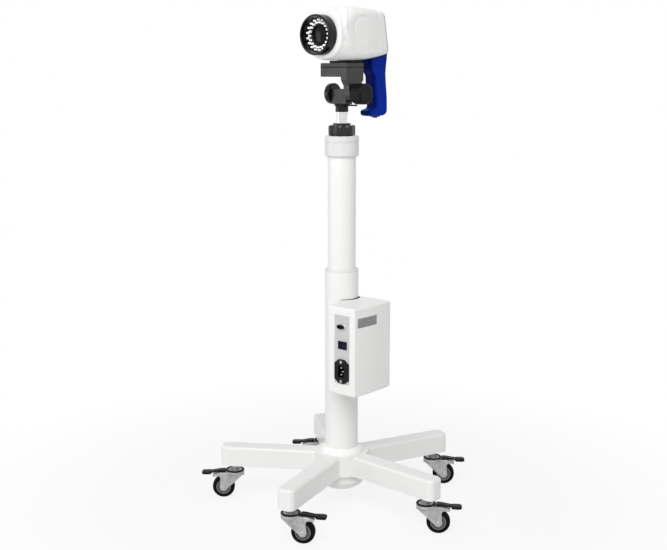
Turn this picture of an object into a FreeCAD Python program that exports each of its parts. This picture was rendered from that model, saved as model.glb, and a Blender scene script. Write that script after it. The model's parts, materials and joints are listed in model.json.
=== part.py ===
import FreeCAD, Part
import math
import os

os.makedirs("parts", exist_ok=True)

# Frame: origin on the column axis at floor level, +Z up, the camera head looks along -Y.
V = FreeCAD.Vector

# Fits
SEAT_GAP = 0.05
RUN_GAP = 0.06
PART_GAP = 0.3
MOVE_GAP = 0.6
SLIDE_GAP = 0.1
THROUGH = 1.0
PARALLEL = 0.999
FLAT = 0.01

# Star base
ARM_COUNT = 5
ARM_TURN = -2.6
ARM_REACH = 262.0
ARM_HALF_TIP = 18.5
ARM_HALF_ROOT = 21.5
ARM_UNDERSIDE = 75.0
ARM_TOP = 118.0
ARM_EDGE_R = 5.5
ARM_END_R = 12.0
HUB_R = 58.0
HUB_SOCKET_DEPTH = 32.0
FOOT_BOLT_R = 6.0
FOOT_BOLT_HEAD_R = 10.0
FOOT_BOLT_HEAD_H = 8.0
FOOT_BOLT_LENGTH = 34.0

# Foot collar and the cup under the hub
COLLAR_LOW_R = 45.5
COLLAR_TOP_R = 38.0
COLLAR_TOP_Z = 129.5
COLLAR_LIP = 3.0
COLLAR_EDGE = 1.0
CUP_R = 50.0
CUP_FLOOR_R = 34.0
CUP_BEND_R = 44.5
CUP_BEND_RISE = 7.0
CUP_WALL_RISE = 16.0
CUP_DEPTH = 34.0
CUP_WALL = 2.5

# Twin-fork castors
CASTOR_RADIUS = 234.0
CASTOR_TRAIL = 25.0
CASTOR_HEADINGS = (35.0, 39.0, 220.0, 222.0, 33.0)
WHEEL_R = 24.0
WHEEL_W = 18.0
WHEEL_EDGE_R = 3.5
WHEEL_RING_R = 15.5
WHEEL_RING_W = 2.5
WHEEL_RING_DEPTH = 0.8
AXLE_R = 4.0
AXLE_HEAD_R = 5.0
AXLE_HEAD_H = 2.5
FORK_GAP = 0.8
FORK_PLATE = 2.5
FORK_TOP_Z = 57.0
FORK_TOP_H = 3.0
FORK_TOP_R = 20.0
FORK_EYE_R = 8.0
FORK_EYE_DROP = 2.0
FORK_NOSE_IN = 4.0
FORK_NOSE_DROP = 3.0
FORK_LUG_HALF = 3.5
FORK_LUG_RISE = 3.0
FORK_TAIL = 48.5
FORK_TAIL_DROP = 5.0
FORK_TAIL_T = 2.0
FORK_CHEEK_END = 4.0
FORK_RIM_OUT = 18.5
FORK_RIM_IN = 15.5
FORK_RIM_Z = 62.5
STEM_R = 5.5
STEM_DEPTH = 22.0
STEM_KEEPER_R = 8.0
STEM_KEEPER_H = 2.0
RACE_R = 15.0
RACE_H = 4.5
RACE_NECK_R = 8.5
LEVER_IN = 19.2
LEVER_NECK_END = 28.5
LEVER_NECK_HALF = 9.3
LEVER_T = 4.6
LEVER_HALF = 8.5
LEVER_PEDAL_HALF = 9.5
LEVER_PEDAL_OUT = 72.0
LEVER_PEDAL_LENGTH = 21.0
LEVER_PEDAL_DROP = 3.5
LEVER_PIVOT_OUT = 23.0
LEVER_PIVOT_R = 1.8
LEVER_PIVOT_Z = 60.0
LEVER_SHOE_IN = 29.0
LEVER_SHOE_OUT = 35.0
LEVER_SHOE_HALF = 6.0
LEVER_SHOE_Z = 49.0
LEVER_LIFT = 0.8
SHOE_WINDOW_GAP = 1.6

# Column
OUTER_R = 35.0
OUTER_WALL = 2.5
OUTER_TOP = 508.0
OUTER_FLOOR_T = 6.0
RIM_TOP = 513.0
RIM_LENGTH = 60.0
RIM_CHAMFER = 2.0
INNER_R = 29.0
INNER_WALL = 2.5
INNER_LOW = 330.0
COLLAR_LOW = 744.0
COLLAR_HIGH = 787.0
TOP_COLLAR_R = 35.0
TOP_COLLAR_GROOVE_Z = 774.0
TOP_COLLAR_GROOVE_W = 2.0
TOP_COLLAR_GROOVE_D = 1.2
TOP_COLLAR_CHAMFER = 4.0
TOP_COLLAR_EDGE = 2.0
TOP_COLLAR_SKIRT = 30.0
COLLET_R = 16.0
COLLET_LENGTH = 60.0
COLLET_NOSE_R = 15.0
COLLET_NOSE_TOP = 806.0
COLLET_SLOT_W = 1.6
COLLET_SLOTS = 4
COLLET_SLOT_LIFT = 2.0
COLLET_FLANGE_T = 4.0
GAS_R = 14.0
GAS_LENGTH = 315.0
GAS_ROD_R = 5.0
GAS_ROD_TOP = 597.0
GAS_HEAD_H = 10.0
GAS_ROD_IN = 116.0
GAS_FOOT_T = 4.0
GAS_BORE_LIFT = 12.0

# Clamp nut and post
POST_R = 11.2
POST_LOW = 690.0
POST_HIGH = 835.0
NUT_LOW = 787.6
NUT_HIGH = 808.5
NUT_ACROSS = 53.0
NUT_LOBES = 6
NUT_CORNER_R = 5.0
NUT_EDGE_R = 2.0
NUT_RING_R = 18.3
NUT_RING_TOP = 812.5
POST_COLLAR_R = 13.3
POST_COLLAR_TOP = 846.8
POST_COLLAR_EDGE = 0.8
POST_SPIGOT_R = 6.0
POST_SPIGOT_H = 12.0

# Tilt joint
TILT_Z = 871.5
BLOCK_X = 19.0
BLOCK_Y = 11.0
BLOCK_LOW = 850.4
BLOCK_HIGH = 881.0
BLOCK_EDGE_R = 1.5
PAN_LEVER_R = 15.5
PAN_LEVER_HALF = 5.0
PAN_LEVER_OUT = 39.0
TILT_AXLE_R = 5.0
TILT_AXLE_SHORT = 8.0
TILT_DISC_R = 21.0
TILT_DISC_T = 12.0
TILT_DISC_EDGE = 2.0
EYE_R = 16.5
LEG_IN = 19.3
LEG_OUT = 34.0
LEG_FLARE = 1.5
LEG_SHOULDER = 6.0
KNOB_R = 21.0
KNOB_LENGTH = 31.0
KNOB_EDGE_R = 4.0

# Bracket, slide and shoe
BRACKET_HALF = 34.5
BRACKET_FRONT = -26.0
BRACKET_BACK = 27.0
BRACKET_LOW = 905.0
BRACKET_HIGH = 924.5
BRACKET_EDGE_R = 2.0
DOVETAIL_HALF_LOW = 17.0
DOVETAIL_HALF_HIGH = 13.0
DOVETAIL_DEPTH = 6.0
SLIDE_HIGH = 932.4
SLIDE_EDGE_R = 3.0
SHOE_HALF = 20.0
SHOE_FRONT = -15.0
SHOE_BACK = 38.0
SHOE_HIGH = 941.5
CAMERA_SCREW_R = 3.2
CAMERA_SCREW_HEAD_R = 7.0
CAMERA_SCREW_HEAD_H = 4.0
CAMERA_SCREW_TOP = 952.0

# Camera head, sections as distance back, half width, half height, corner radius, rise of the middle
HEAD_AXIS_Z = 990.0
HEAD_SECTIONS = (
    (-61.0, 46.5, 47.5, 44.0, 0.0),
    (-54.0, 49.5, 50.5, 46.0, 0.0),
    (-40.0, 50.0, 52.5, 38.0, 0.0),
    (-12.0, 47.0, 53.0, 18.0, 0.0),
    (30.0, 42.5, 51.0, 13.0, 0.2),
    (75.0, 35.0, 47.2, 12.0, 1.2),
    (135.0, 24.0, 41.0, 11.0, 4.5),
)
HEAD_WALL = 3.0
HEAD_FRONT_WALL = 4.0
HEAD_REAR_TOP = 101.0
HEAD_REAR_LOW = 121.5
HEAD_REAR_RISE = 40.0
HEAD_REAR_DROP = 41.0
HEAD_CUT_SIZE = 120.0
REAR_COVER_T = 6.0
BEZEL_R = 39.5
BEZEL_FRONT = -84.0
BEZEL_BACK = -50.0
BEZEL_SEAT_R = 36.5
BEZEL_EDGE = 2.5
BEZEL_MOUTH_R = 35.5
BEZEL_THROAT_R = 33.5
BEZEL_THROAT_Y = -77.0
LENS_Z = 986.2
HEAD_FRONT = -61.0
LAMP_BOARD_T = 1.6
LAMP_BOARD_SET = 10.0
LAMP_COUNT = 18
LAMP_RING_OUT = 29.6
LAMP_RING_IN = 24.2
LAMP_R = 2.5
LAMP_H = 6.5
LENS_BARREL_R = 19.0
LENS_BARREL_FRONT = -72.0
LENS_BARREL_LENGTH = 54.0
LENS_BORE_R = 15.5
LENS_BARREL_FLOOR = 4.0
LENS_GLASS_T = 4.0
LENS_GLASS_SET = 3.0
LENS_GLASS_BULGE = 2.0
CAMERA_BLOCK_HALF = 21.0
CAMERA_BLOCK_LENGTH = 48.0
CAMERA_FOOT_IN = 4.0

# Grip, sections as height above the cap, front, back, half width
GRIP_LOW = 822.0
GRIP_SECTIONS = (
    (0.0, 92.0, 122.0, 9.5),
    (5.0, 92.0, 128.0, 11.5),
    (18.0, 94.0, 133.5, 12.5),
    (40.0, 91.5, 131.0, 12.5),
    (64.0, 87.5, 126.0, 12.5),
    (92.0, 86.5, 124.0, 13.0),
    (108.0, 83.0, 123.5, 14.5),
    (122.0, 77.0, 122.5, 17.5),
    (146.0, 76.0, 119.0, 18.0),
)
GRIP_CORNER = 8.0
GRIP_TOE_Y = 71.5
GRIP_TOE_HALF = 10.0
GRIP_TOE_ROOT_Y = 105.0
GRIP_TOE_RISE = 14.0
GRIP_TOE_WEB_Y = 93.0
GRIP_TOE_WEB_RISE = 24.0
GRIP_TOE_CREST_Y = 86.0
GRIP_TOE_NOSE = 5.0
GRIP_TOE_EDGE_R = 2.0
GRIP_CAP_T = 2.2
GRIP_CAP_SET = 3.0
GRIP_CAP_R = 5.0
GRIP_CAP_BOSS = 2.0

# Power box
BOX_X0 = 37.0
BOX_X1 = 103.5
BOX_Y0 = -82.0
BOX_Y1 = 35.0
BOX_Z0 = 270.0
BOX_Z1 = 452.0
BOX_WALL = 2.5
BOX_EDGE_R = 4.0
BOX_BULGE = 3.0
SADDLE_X = 20.0
SADDLE_HALF = 30.0
SADDLE_GAP = 1.5
PANEL_HALF = 19.7
PANEL_X = 71.2
PANEL_LOW = 294.0
PANEL_HIGH = 436.0
PANEL_T = 1.6
PANEL_SET = 0.4
PANEL_LEDGE = 3.0
INLET_Z = 320.0
INLET_HALF_X = 18.5
INLET_HALF_Z = 16.5
INLET_END_HALF = 7.0
INLET_END_Z = 25.0
INLET_EDGE_R = 0.8
INLET_FLANGE_T = 3.0
INLET_MOUTH_HALF_X = 12.0
INLET_MOUTH_HALF_Z = 8.2
INLET_MOUTH_CUT = 5.0
INLET_MOUTH_DEPTH = 16.0
INLET_BODY_WALL = 1.8
INLET_SCREW_PITCH = 40.0
INLET_SCREW_R = 1.7
INLET_SCREW_HEAD_R = 2.9
INLET_SCREW_HEAD_H = 1.4
INLET_SCREW_LENGTH = 12.0
INLET_SCREW_SLOT_W = 0.8
INLET_SCREW_SLOT_D = 0.8
INLET_PIN_X = 1.0
INLET_PIN_Z = 2.0
INLET_PIN_PITCH = 7.0
INLET_PIN_DROP = 4.0
INLET_PIN_LENGTH = 13.0
ROCKER_Z = 374.3
ROCKER_X = 72.7
ROCKER_HALF_X = 11.0
ROCKER_HALF_Z = 8.0
ROCKER_RIM = 1.6
ROCKER_RIM_T = 1.6
ROCKER_WALL = 1.0
ROCKER_DEPTH = 14.0
ROCKER_PROUD = 1.6
ROCKER_DIP = 0.4
ROCKER_FLAT = 0.2
ROCKER_SIDE_DEPTH = 4.0
ROCKER_KEEL_DEPTH = 6.0
ROCKER_TAPER_ON = 1.0
ROCKER_TAPER_OFF = 2.0
SOCKET_Z = 411.8
SOCKET_X = 68.7
SOCKET_R = 6.6
SOCKET_BORE_R = 4.2
SOCKET_OUT = 5.0
SOCKET_IN = 12.0
SOCKET_BORE_IN = 4.0
SOCKET_FLANGE_R = 9.0
SOCKET_FLANGE_T = 1.6
SUPPLY_T = 1.6
SUPPLY_STANDOFF = 6.0
SUPPLY_FRONT_ROOM = 30.0
SUPPLY_BACK_ROOM = 10.0
SUPPLY_END_ROOM = 12.0
SUPPLY_PILLAR_R = 3.0
SUPPLY_PILLAR_IN = 8.0
CORE_HEIGHT = 26.0
CORE_HALF_Y = 21.0
CORE_HALF_Z = 26.0
CORE_Y = -9.0
CORE_LIFT = 66.0
COIL_HEIGHT = 32.0
COIL_HALF_Y = 15.0
COIL_HALF_Z = 18.0
COIL_EDGE_R = 5.0
PAD_HALF_Z = 14.0
PAD_HALF_Y = 17.0
PAD_WRAP = 6.0
PAD_Z = (310.0, 412.0)
BOX_SCREW_R = 2.5
BOX_SCREW_HEAD_R = 4.5
BOX_SCREW_HEAD_H = 2.6
BOX_SCREW_REACH = 3.0


def box(x0, x1, y0, y1, z0, z1):
    return Part.makeBox(x1 - x0, y1 - y0, z1 - z0, V(x0, y0, z0))


def rod_z(radius, z0, z1, x=0.0, y=0.0):
    return Part.makeCylinder(radius, z1 - z0, V(x, y, z0))


def rod_x(radius, x0, x1, y=0.0, z=0.0):
    return Part.makeCylinder(radius, x1 - x0, V(x0, y, z), V(1, 0, 0))


def rod_y(radius, y0, y1, x=0.0, z=0.0):
    return Part.makeCylinder(radius, y1 - y0, V(x, y0, z), V(0, 1, 0))


def pipe_z(outer, inner, z0, z1):
    return rod_z(outer, z0, z1).cut(rod_z(inner, z0, z1))


def turned(points):
    """Solid of revolution about Z from (radius, height) points."""
    wire = Part.makePolygon([V(r, 0, z) for r, z in points] + [V(points[0][0], 0, points[0][1])])
    return Part.Face(wire).revolve(V(0, 0, 0), V(0, 0, 1), 360)


def turned_y(points, axis_z):
    """Solid of revolution about the head axis from (radius, distance back) points."""
    wire = Part.makePolygon([V(r, y, 0) for r, y in points] + [V(points[0][0], points[0][1], 0)])
    solid = Part.Face(wire).revolve(V(0, 0, 0), V(0, 1, 0), 360)
    return solid.translated(V(0, 0, axis_z))


def prism(points, direction):
    wire = Part.makePolygon(points + [points[0]])
    return Part.Face(wire).extrude(direction)


def edges_along(shape, direction, shortest=0.0):
    """Straight edges parallel to a direction."""
    found = []
    for edge in shape.Edges:
        if edge.Curve.TypeId != "Part::GeomLine" or edge.Length < shortest:
            continue
        along = (edge.Vertexes[-1].Point - edge.Vertexes[0].Point).normalize()
        if abs(along.dot(direction)) > PARALLEL:
            found.append(edge)
    return found


def round_edges(shape, least=0.0):
    """Circular edges with at least the given radius."""
    return [e for e in shape.Edges if e.Curve.TypeId == "Part::GeomCircle" and e.Curve.Radius > least]


def turn(shape, angle):
    return shape.rotated(V(0, 0, 0), V(0, 0, 1), angle)


def arm_angle(index):
    return ARM_TURN + index * 360.0 / ARM_COUNT


def write(name, shape):
    shape.exportStep("parts/" + name + ".step")


# Base

def arm_blank():
    plan = [
        V(0, -ARM_HALF_ROOT, 0),
        V(ARM_REACH, -ARM_HALF_TIP, 0),
        V(ARM_REACH, ARM_HALF_TIP, 0),
        V(0, ARM_HALF_ROOT, 0),
    ]
    body = prism(plan, V(0, 0, ARM_TOP))
    body = body.cut(box(0, ARM_REACH, -HUB_R, HUB_R, 0, ARM_UNDERSIDE))
    end_edges = [e for e in edges_along(body, V(0, 0, 1)) if e.CenterOfMass.x > HUB_R]
    body = body.makeFillet(ARM_END_R, end_edges)
    top_edges = []
    for edge in body.Edges:
        box_of = edge.BoundBox
        if box_of.ZMin > ARM_TOP - THROUGH and box_of.XMax > HUB_R:
            top_edges.append(edge)
    return body.makeFillet(ARM_EDGE_R, top_edges)


def base_star():
    hub = rod_z(HUB_R, ARM_UNDERSIDE, ARM_TOP)
    star = hub
    for index in range(ARM_COUNT):
        star = star.fuse(turn(arm_blank(), arm_angle(index)))
    star = star.removeSplitter()
    star = star.cut(rod_z(OUTER_R + SEAT_GAP, ARM_TOP - HUB_SOCKET_DEPTH, ARM_TOP + THROUGH))
    star = star.cut(rod_z(FOOT_BOLT_R + SEAT_GAP, 0, ARM_TOP))
    for index in range(ARM_COUNT):
        hole = rod_z(STEM_R + SEAT_GAP, 0, ARM_UNDERSIDE + STEM_DEPTH + PART_GAP, CASTOR_RADIUS)
        star = star.cut(turn(hole, arm_angle(index)))
    return star


def foot_collar():
    inner = OUTER_R + SEAT_GAP
    return turned(
        [
            (inner, ARM_TOP),
            (COLLAR_LOW_R, ARM_TOP),
            (COLLAR_LOW_R, ARM_TOP + COLLAR_LIP),
            (COLLAR_TOP_R, COLLAR_TOP_Z - COLLAR_EDGE),
            (COLLAR_TOP_R - COLLAR_EDGE, COLLAR_TOP_Z),
            (inner, COLLAR_TOP_Z),
        ]
    )


def cup_blank(inset):
    low = ARM_UNDERSIDE - CUP_DEPTH
    return turned(
        [
            (0, low + inset),
            (CUP_FLOOR_R - inset / 2, low + inset),
            (CUP_BEND_R - inset, low + CUP_BEND_RISE + inset / 2),
            (CUP_R - inset, low + CUP_WALL_RISE + inset / 2),
            (CUP_R - inset, ARM_UNDERSIDE),
            (0, ARM_UNDERSIDE),
        ]
    )


def hub_cup():
    return cup_blank(0.0).cut(cup_blank(CUP_WALL))


def foot_bolt():
    top = ARM_UNDERSIDE + FOOT_BOLT_LENGTH
    head = rod_z(FOOT_BOLT_HEAD_R, ARM_UNDERSIDE - FOOT_BOLT_HEAD_H, ARM_UNDERSIDE)
    return head.fuse(rod_z(FOOT_BOLT_R, ARM_UNDERSIDE - THROUGH, top))


# Castors, built with the swivel axis at x = 0 and the trail toward +X, then set in place

def fork():
    """Two cheeks under a long top plate, with a rimmed race on top and a riveted axle."""
    side_in = WHEEL_W / 2 + FORK_GAP
    side_out = side_in + FORK_PLATE
    low = FORK_TOP_Z - FORK_TOP_H
    body = rod_z(FORK_TOP_R, low, FORK_TOP_Z)
    deck_end = CASTOR_TRAIL + FORK_CHEEK_END
    body = body.fuse(box(0, deck_end, -side_out, side_out, low, FORK_TOP_Z))
    guard = prism(
        [
            V(deck_end - FORK_TAIL_T, -side_out, low),
            V(FORK_TAIL, -side_out, low - FORK_TAIL_DROP),
            V(FORK_TAIL, -side_out, low - FORK_TAIL_DROP + FORK_TAIL_T),
            V(deck_end - FORK_TAIL_T, -side_out, low + FORK_TAIL_T),
        ],
        V(0, 2 * side_out, 0),
    )
    body = body.fuse(guard)
    for start in (side_in, -side_out):
        outline = [
            V(-FORK_TOP_R + FORK_NOSE_IN, start, FORK_TOP_Z - THROUGH),
            V(-FORK_TOP_R + FORK_NOSE_IN, start, low - FORK_NOSE_DROP),
            V(CASTOR_TRAIL - FORK_EYE_R, start, WHEEL_R - FORK_EYE_DROP),
            V(CASTOR_TRAIL + FORK_EYE_R, start, WHEEL_R),
            V(deck_end, start, low),
            V(deck_end, start, FORK_TOP_Z - THROUGH),
        ]
        body = body.fuse(prism(outline, V(0, FORK_PLATE, 0)))
        body = body.fuse(rod_y(FORK_EYE_R, start, start + FORK_PLATE, CASTOR_TRAIL, WHEEL_R))
        lug_in = LEVER_PIVOT_OUT - FORK_LUG_HALF
        lug_out = LEVER_PIVOT_OUT + FORK_LUG_HALF
        lug_top = LEVER_PIVOT_Z + FORK_LUG_RISE
        body = body.fuse(box(lug_in, lug_out, start, start + FORK_PLATE, low, lug_top))
    window = LEVER_SHOE_HALF + SHOE_WINDOW_GAP
    body = body.cut(
        box(
            LEVER_SHOE_IN - 2 * SHOE_WINDOW_GAP, LEVER_SHOE_OUT + SHOE_WINDOW_GAP,
            -window, window,
            low - FORK_TAIL_DROP, FORK_TOP_Z + THROUGH,
        )
    )
    body = body.fuse(pipe_z(FORK_RIM_OUT, FORK_RIM_IN, FORK_TOP_Z - THROUGH, FORK_RIM_Z))
    body = body.fuse(rod_y(AXLE_R, -side_out, side_out, CASTOR_TRAIL, WHEEL_R))
    body = body.fuse(rod_y(AXLE_HEAD_R, side_out, side_out + AXLE_HEAD_H, CASTOR_TRAIL, WHEEL_R))
    body = body.fuse(rod_y(AXLE_HEAD_R, -side_out - AXLE_HEAD_H, -side_out, CASTOR_TRAIL, WHEEL_R))
    body = body.fuse(rod_y(LEVER_PIVOT_R, -side_out, side_out, LEVER_PIVOT_OUT, LEVER_PIVOT_Z))
    return body.cut(rod_z(STEM_R + RUN_GAP, low - THROUGH, FORK_TOP_Z + THROUGH)).removeSplitter()


def wheel():
    half = WHEEL_W / 2
    tyre = rod_y(WHEEL_R, -half, half, CASTOR_TRAIL, WHEEL_R)
    body = tyre.makeFillet(WHEEL_EDGE_R, round_edges(tyre))
    body = body.cut(rod_y(AXLE_R + RUN_GAP, -half, half, CASTOR_TRAIL, WHEEL_R))
    for start in (half - WHEEL_RING_DEPTH, -half):
        end = start + WHEEL_RING_DEPTH
        ring = rod_y(WHEEL_RING_R, start, end, CASTOR_TRAIL, WHEEL_R)
        ring = ring.cut(rod_y(WHEEL_RING_R - WHEEL_RING_W, start, end, CASTOR_TRAIL, WHEEL_R))
        body = body.cut(ring)
    return body


def brake_lever():
    """Foot lever on its own pin, with a pedal behind the wheel and a shoe above the tread."""
    low = FORK_TOP_Z + LEVER_LIFT
    high = low + LEVER_T
    pedal_in = LEVER_PEDAL_OUT - LEVER_PEDAL_LENGTH
    body = box(LEVER_IN, LEVER_NECK_END + THROUGH, -LEVER_NECK_HALF, LEVER_NECK_HALF, low, high)
    body = body.fuse(box(LEVER_NECK_END, pedal_in + THROUGH, -LEVER_HALF, LEVER_HALF, low, high))
    pedal = box(
        pedal_in, LEVER_PEDAL_OUT,
        -LEVER_PEDAL_HALF, LEVER_PEDAL_HALF,
        low - LEVER_PEDAL_DROP, high - LEVER_PEDAL_DROP / 2,
    )
    pedal = pedal.makeFillet(LEVER_PEDAL_DROP / 2, edges_along(pedal, V(0, 1, 0)))
    shoe = box(
        LEVER_SHOE_IN, LEVER_SHOE_OUT,
        -LEVER_SHOE_HALF, LEVER_SHOE_HALF,
        LEVER_SHOE_Z, low + THROUGH,
    )
    body = body.fuse(pedal).fuse(shoe).removeSplitter()
    body = body.cut(rod_z(FORK_RIM_OUT + MOVE_GAP, low - THROUGH, high + THROUGH))
    half = LEVER_NECK_HALF + THROUGH
    return body.cut(rod_y(LEVER_PIVOT_R + RUN_GAP, -half, half, LEVER_PIVOT_OUT, LEVER_PIVOT_Z))


def castor_stems():
    """Five swivel stems, each with its race on the fork and a keeper below the top plate."""
    low = FORK_TOP_Z - FORK_TOP_H - PART_GAP - STEM_KEEPER_H
    race_low = FORK_TOP_Z + PART_GAP
    stem = rod_z(STEM_R, low, ARM_UNDERSIDE + STEM_DEPTH, CASTOR_RADIUS)
    race = rod_z(RACE_R, race_low, race_low + RACE_H, CASTOR_RADIUS)
    neck = rod_z(RACE_NECK_R, race_low, ARM_UNDERSIDE, CASTOR_RADIUS)
    keeper = rod_z(STEM_KEEPER_R, low, low + STEM_KEEPER_H, CASTOR_RADIUS)
    one = stem.fuse(race).fuse(neck).fuse(keeper).removeSplitter()
    return Part.makeCompound([turn(one, arm_angle(index)) for index in range(ARM_COUNT)])


def place_castor(shape, index):
    """Set one castor piece under its arm with the trail at its own heading."""
    angle = math.radians(arm_angle(index))
    x = CASTOR_RADIUS * math.cos(angle)
    y = CASTOR_RADIUS * math.sin(angle)
    return turn(shape, CASTOR_HEADINGS[index]).translated(V(x, y, 0))


# Column

def outer_tube():
    low = ARM_TOP - HUB_SOCKET_DEPTH
    tube = pipe_z(OUTER_R, OUTER_R - OUTER_WALL, low, OUTER_TOP)
    floor = pipe_z(OUTER_R - THROUGH, FOOT_BOLT_R, low, low + OUTER_FLOOR_T)
    tube = tube.fuse(floor).removeSplitter()
    for z in PAD_Z:
        for y in (-PAD_HALF_Y / 2, PAD_HALF_Y / 2):
            tube = tube.cut(rod_x(BOX_SCREW_R, 0, OUTER_R + THROUGH, y, z))
    return tube


def rim_bush():
    wall_in = OUTER_R - OUTER_WALL - SEAT_GAP
    return turned(
        [
            (INNER_R + RUN_GAP, OUTER_TOP - RIM_LENGTH),
            (wall_in, OUTER_TOP - RIM_LENGTH),
            (wall_in, OUTER_TOP),
            (OUTER_R, OUTER_TOP),
            (OUTER_R, RIM_TOP - RIM_CHAMFER),
            (OUTER_R - RIM_CHAMFER, RIM_TOP),
            (INNER_R + RUN_GAP, RIM_TOP),
        ]
    )


def inner_tube():
    return pipe_z(INNER_R, INNER_R - INNER_WALL, INNER_LOW, COLLAR_LOW + TOP_COLLAR_SKIRT)


def gas_cylinder():
    low = ARM_TOP - HUB_SOCKET_DEPTH + OUTER_FLOOR_T
    base = rod_z(OUTER_R - OUTER_WALL - SEAT_GAP, low, low + GAS_FOOT_T)
    barrel = rod_z(GAS_R, low + GAS_FOOT_T - THROUGH, low + GAS_LENGTH)
    bore = rod_z(GAS_ROD_R + RUN_GAP, low + GAS_BORE_LIFT, low + GAS_LENGTH)
    screw_room = rod_z(FOOT_BOLT_R + SEAT_GAP, low, ARM_UNDERSIDE + FOOT_BOLT_LENGTH + THROUGH)
    return base.fuse(barrel).removeSplitter().cut(bore).cut(screw_room)


def gas_rod():
    low = ARM_TOP - HUB_SOCKET_DEPTH + OUTER_FLOOR_T + GAS_LENGTH
    rod = rod_z(GAS_ROD_R, low - GAS_ROD_IN, GAS_ROD_TOP)
    spider = rod_z(INNER_R - INNER_WALL - SEAT_GAP, GAS_ROD_TOP - THROUGH, GAS_ROD_TOP + GAS_HEAD_H)
    return rod.fuse(spider).removeSplitter()


def top_collar():
    bore_low = COLLAR_LOW + TOP_COLLAR_SKIRT
    groove_z = TOP_COLLAR_GROOVE_Z
    groove_r = TOP_COLLAR_R - TOP_COLLAR_GROOVE_D
    return turned(
        [
            (INNER_R + SEAT_GAP, COLLAR_LOW),
            (TOP_COLLAR_R - TOP_COLLAR_CHAMFER, COLLAR_LOW),
            (TOP_COLLAR_R, COLLAR_LOW + TOP_COLLAR_CHAMFER),
            (TOP_COLLAR_R, groove_z),
            (groove_r, groove_z),
            (groove_r, groove_z + TOP_COLLAR_GROOVE_W),
            (TOP_COLLAR_R, groove_z + TOP_COLLAR_GROOVE_W),
            (TOP_COLLAR_R, COLLAR_HIGH - TOP_COLLAR_EDGE),
            (TOP_COLLAR_R - TOP_COLLAR_EDGE, COLLAR_HIGH),
            (COLLET_R + SEAT_GAP, COLLAR_HIGH),
            (COLLET_R + SEAT_GAP, bore_low),
            (INNER_R + SEAT_GAP, bore_low),
        ]
    )


def collet():
    body = rod_z(COLLET_R, COLLAR_HIGH - COLLET_LENGTH, COLLAR_HIGH)
    flange_low = COLLAR_LOW + TOP_COLLAR_SKIRT - COLLET_FLANGE_T
    flange = rod_z(INNER_R - INNER_WALL - SEAT_GAP, flange_low, flange_low + COLLET_FLANGE_T)
    nose = rod_z(COLLET_NOSE_R, COLLAR_HIGH - THROUGH, COLLET_NOSE_TOP)
    body = body.fuse(flange).fuse(nose).removeSplitter()
    bore_low = COLLAR_HIGH - COLLET_LENGTH - THROUGH
    body = body.cut(rod_z(POST_R + RUN_GAP, bore_low, COLLET_NOSE_TOP + THROUGH))
    for index in range(COLLET_SLOTS):
        slot = box(
            POST_R - THROUGH, COLLET_NOSE_R + THROUGH,
            -COLLET_SLOT_W / 2, COLLET_SLOT_W / 2,
            COLLAR_HIGH + COLLET_SLOT_LIFT, COLLET_NOSE_TOP + THROUGH,
        )
        body = body.cut(turn(slot, index * 360.0 / COLLET_SLOTS))
    return body


def clamp_nut():
    corner = NUT_ACROSS / 2 / math.cos(math.pi / NUT_LOBES)
    points = []
    for index in range(NUT_LOBES):
        angle = math.radians(ARM_TURN + index * 360.0 / NUT_LOBES)
        points.append(V(corner * math.cos(angle), corner * math.sin(angle), NUT_LOW))
    body = prism(points, V(0, 0, NUT_HIGH - NUT_LOW))
    body = body.makeFillet(NUT_CORNER_R, edges_along(body, V(0, 0, 1)))
    rims = [e for e in body.Edges if e.BoundBox.ZLength < FLAT]
    body = body.makeFillet(NUT_EDGE_R, rims)
    body = body.fuse(rod_z(NUT_RING_R, NUT_HIGH - THROUGH, NUT_RING_TOP)).removeSplitter()
    body = body.cut(rod_z(COLLET_NOSE_R + PART_GAP, NUT_LOW - THROUGH, COLLET_NOSE_TOP + PART_GAP))
    return body.cut(rod_z(POST_R + PART_GAP, NUT_LOW - THROUGH, NUT_RING_TOP + THROUGH))


def chrome_post():
    post = rod_z(POST_R, POST_LOW, POST_HIGH)
    spigot = rod_z(POST_SPIGOT_R, POST_HIGH - THROUGH, POST_COLLAR_TOP + POST_SPIGOT_H)
    return post.fuse(spigot).removeSplitter()


def post_collar():
    body = pipe_z(POST_COLLAR_R, POST_SPIGOT_R + SEAT_GAP, POST_HIGH, POST_COLLAR_TOP)
    return body.makeChamfer(POST_COLLAR_EDGE, round_edges(body, POST_R))


# Pan and tilt joint

def pan_block():
    body = box(-BLOCK_X, BLOCK_X, -BLOCK_Y, BLOCK_Y, BLOCK_LOW, BLOCK_HIGH)
    body = body.makeFillet(BLOCK_EDGE_R, body.Edges)
    body = body.cut(rod_x(TILT_AXLE_R + SEAT_GAP, -BLOCK_X - THROUGH, BLOCK_X + THROUGH, 0, TILT_Z))
    spigot_top = POST_COLLAR_TOP + POST_SPIGOT_H + PART_GAP
    return body.cut(rod_z(POST_SPIGOT_R + RUN_GAP, BLOCK_LOW - THROUGH, spigot_top))


def pan_lever():
    low = POST_COLLAR_TOP + PART_GAP
    high = BLOCK_LOW - PART_GAP
    ring = rod_z(PAN_LEVER_R, low, high)
    tab = box(0, PAN_LEVER_OUT, -PAN_LEVER_HALF, PAN_LEVER_HALF, low, high)
    ends = [e for e in edges_along(tab, V(0, 0, 1)) if e.CenterOfMass.x > PAN_LEVER_R]
    tab = tab.makeFillet(PAN_LEVER_HALF - PART_GAP, ends)
    body = ring.fuse(tab).removeSplitter()
    return body.cut(rod_z(POST_SPIGOT_R + RUN_GAP, low - THROUGH, high + THROUGH))


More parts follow.
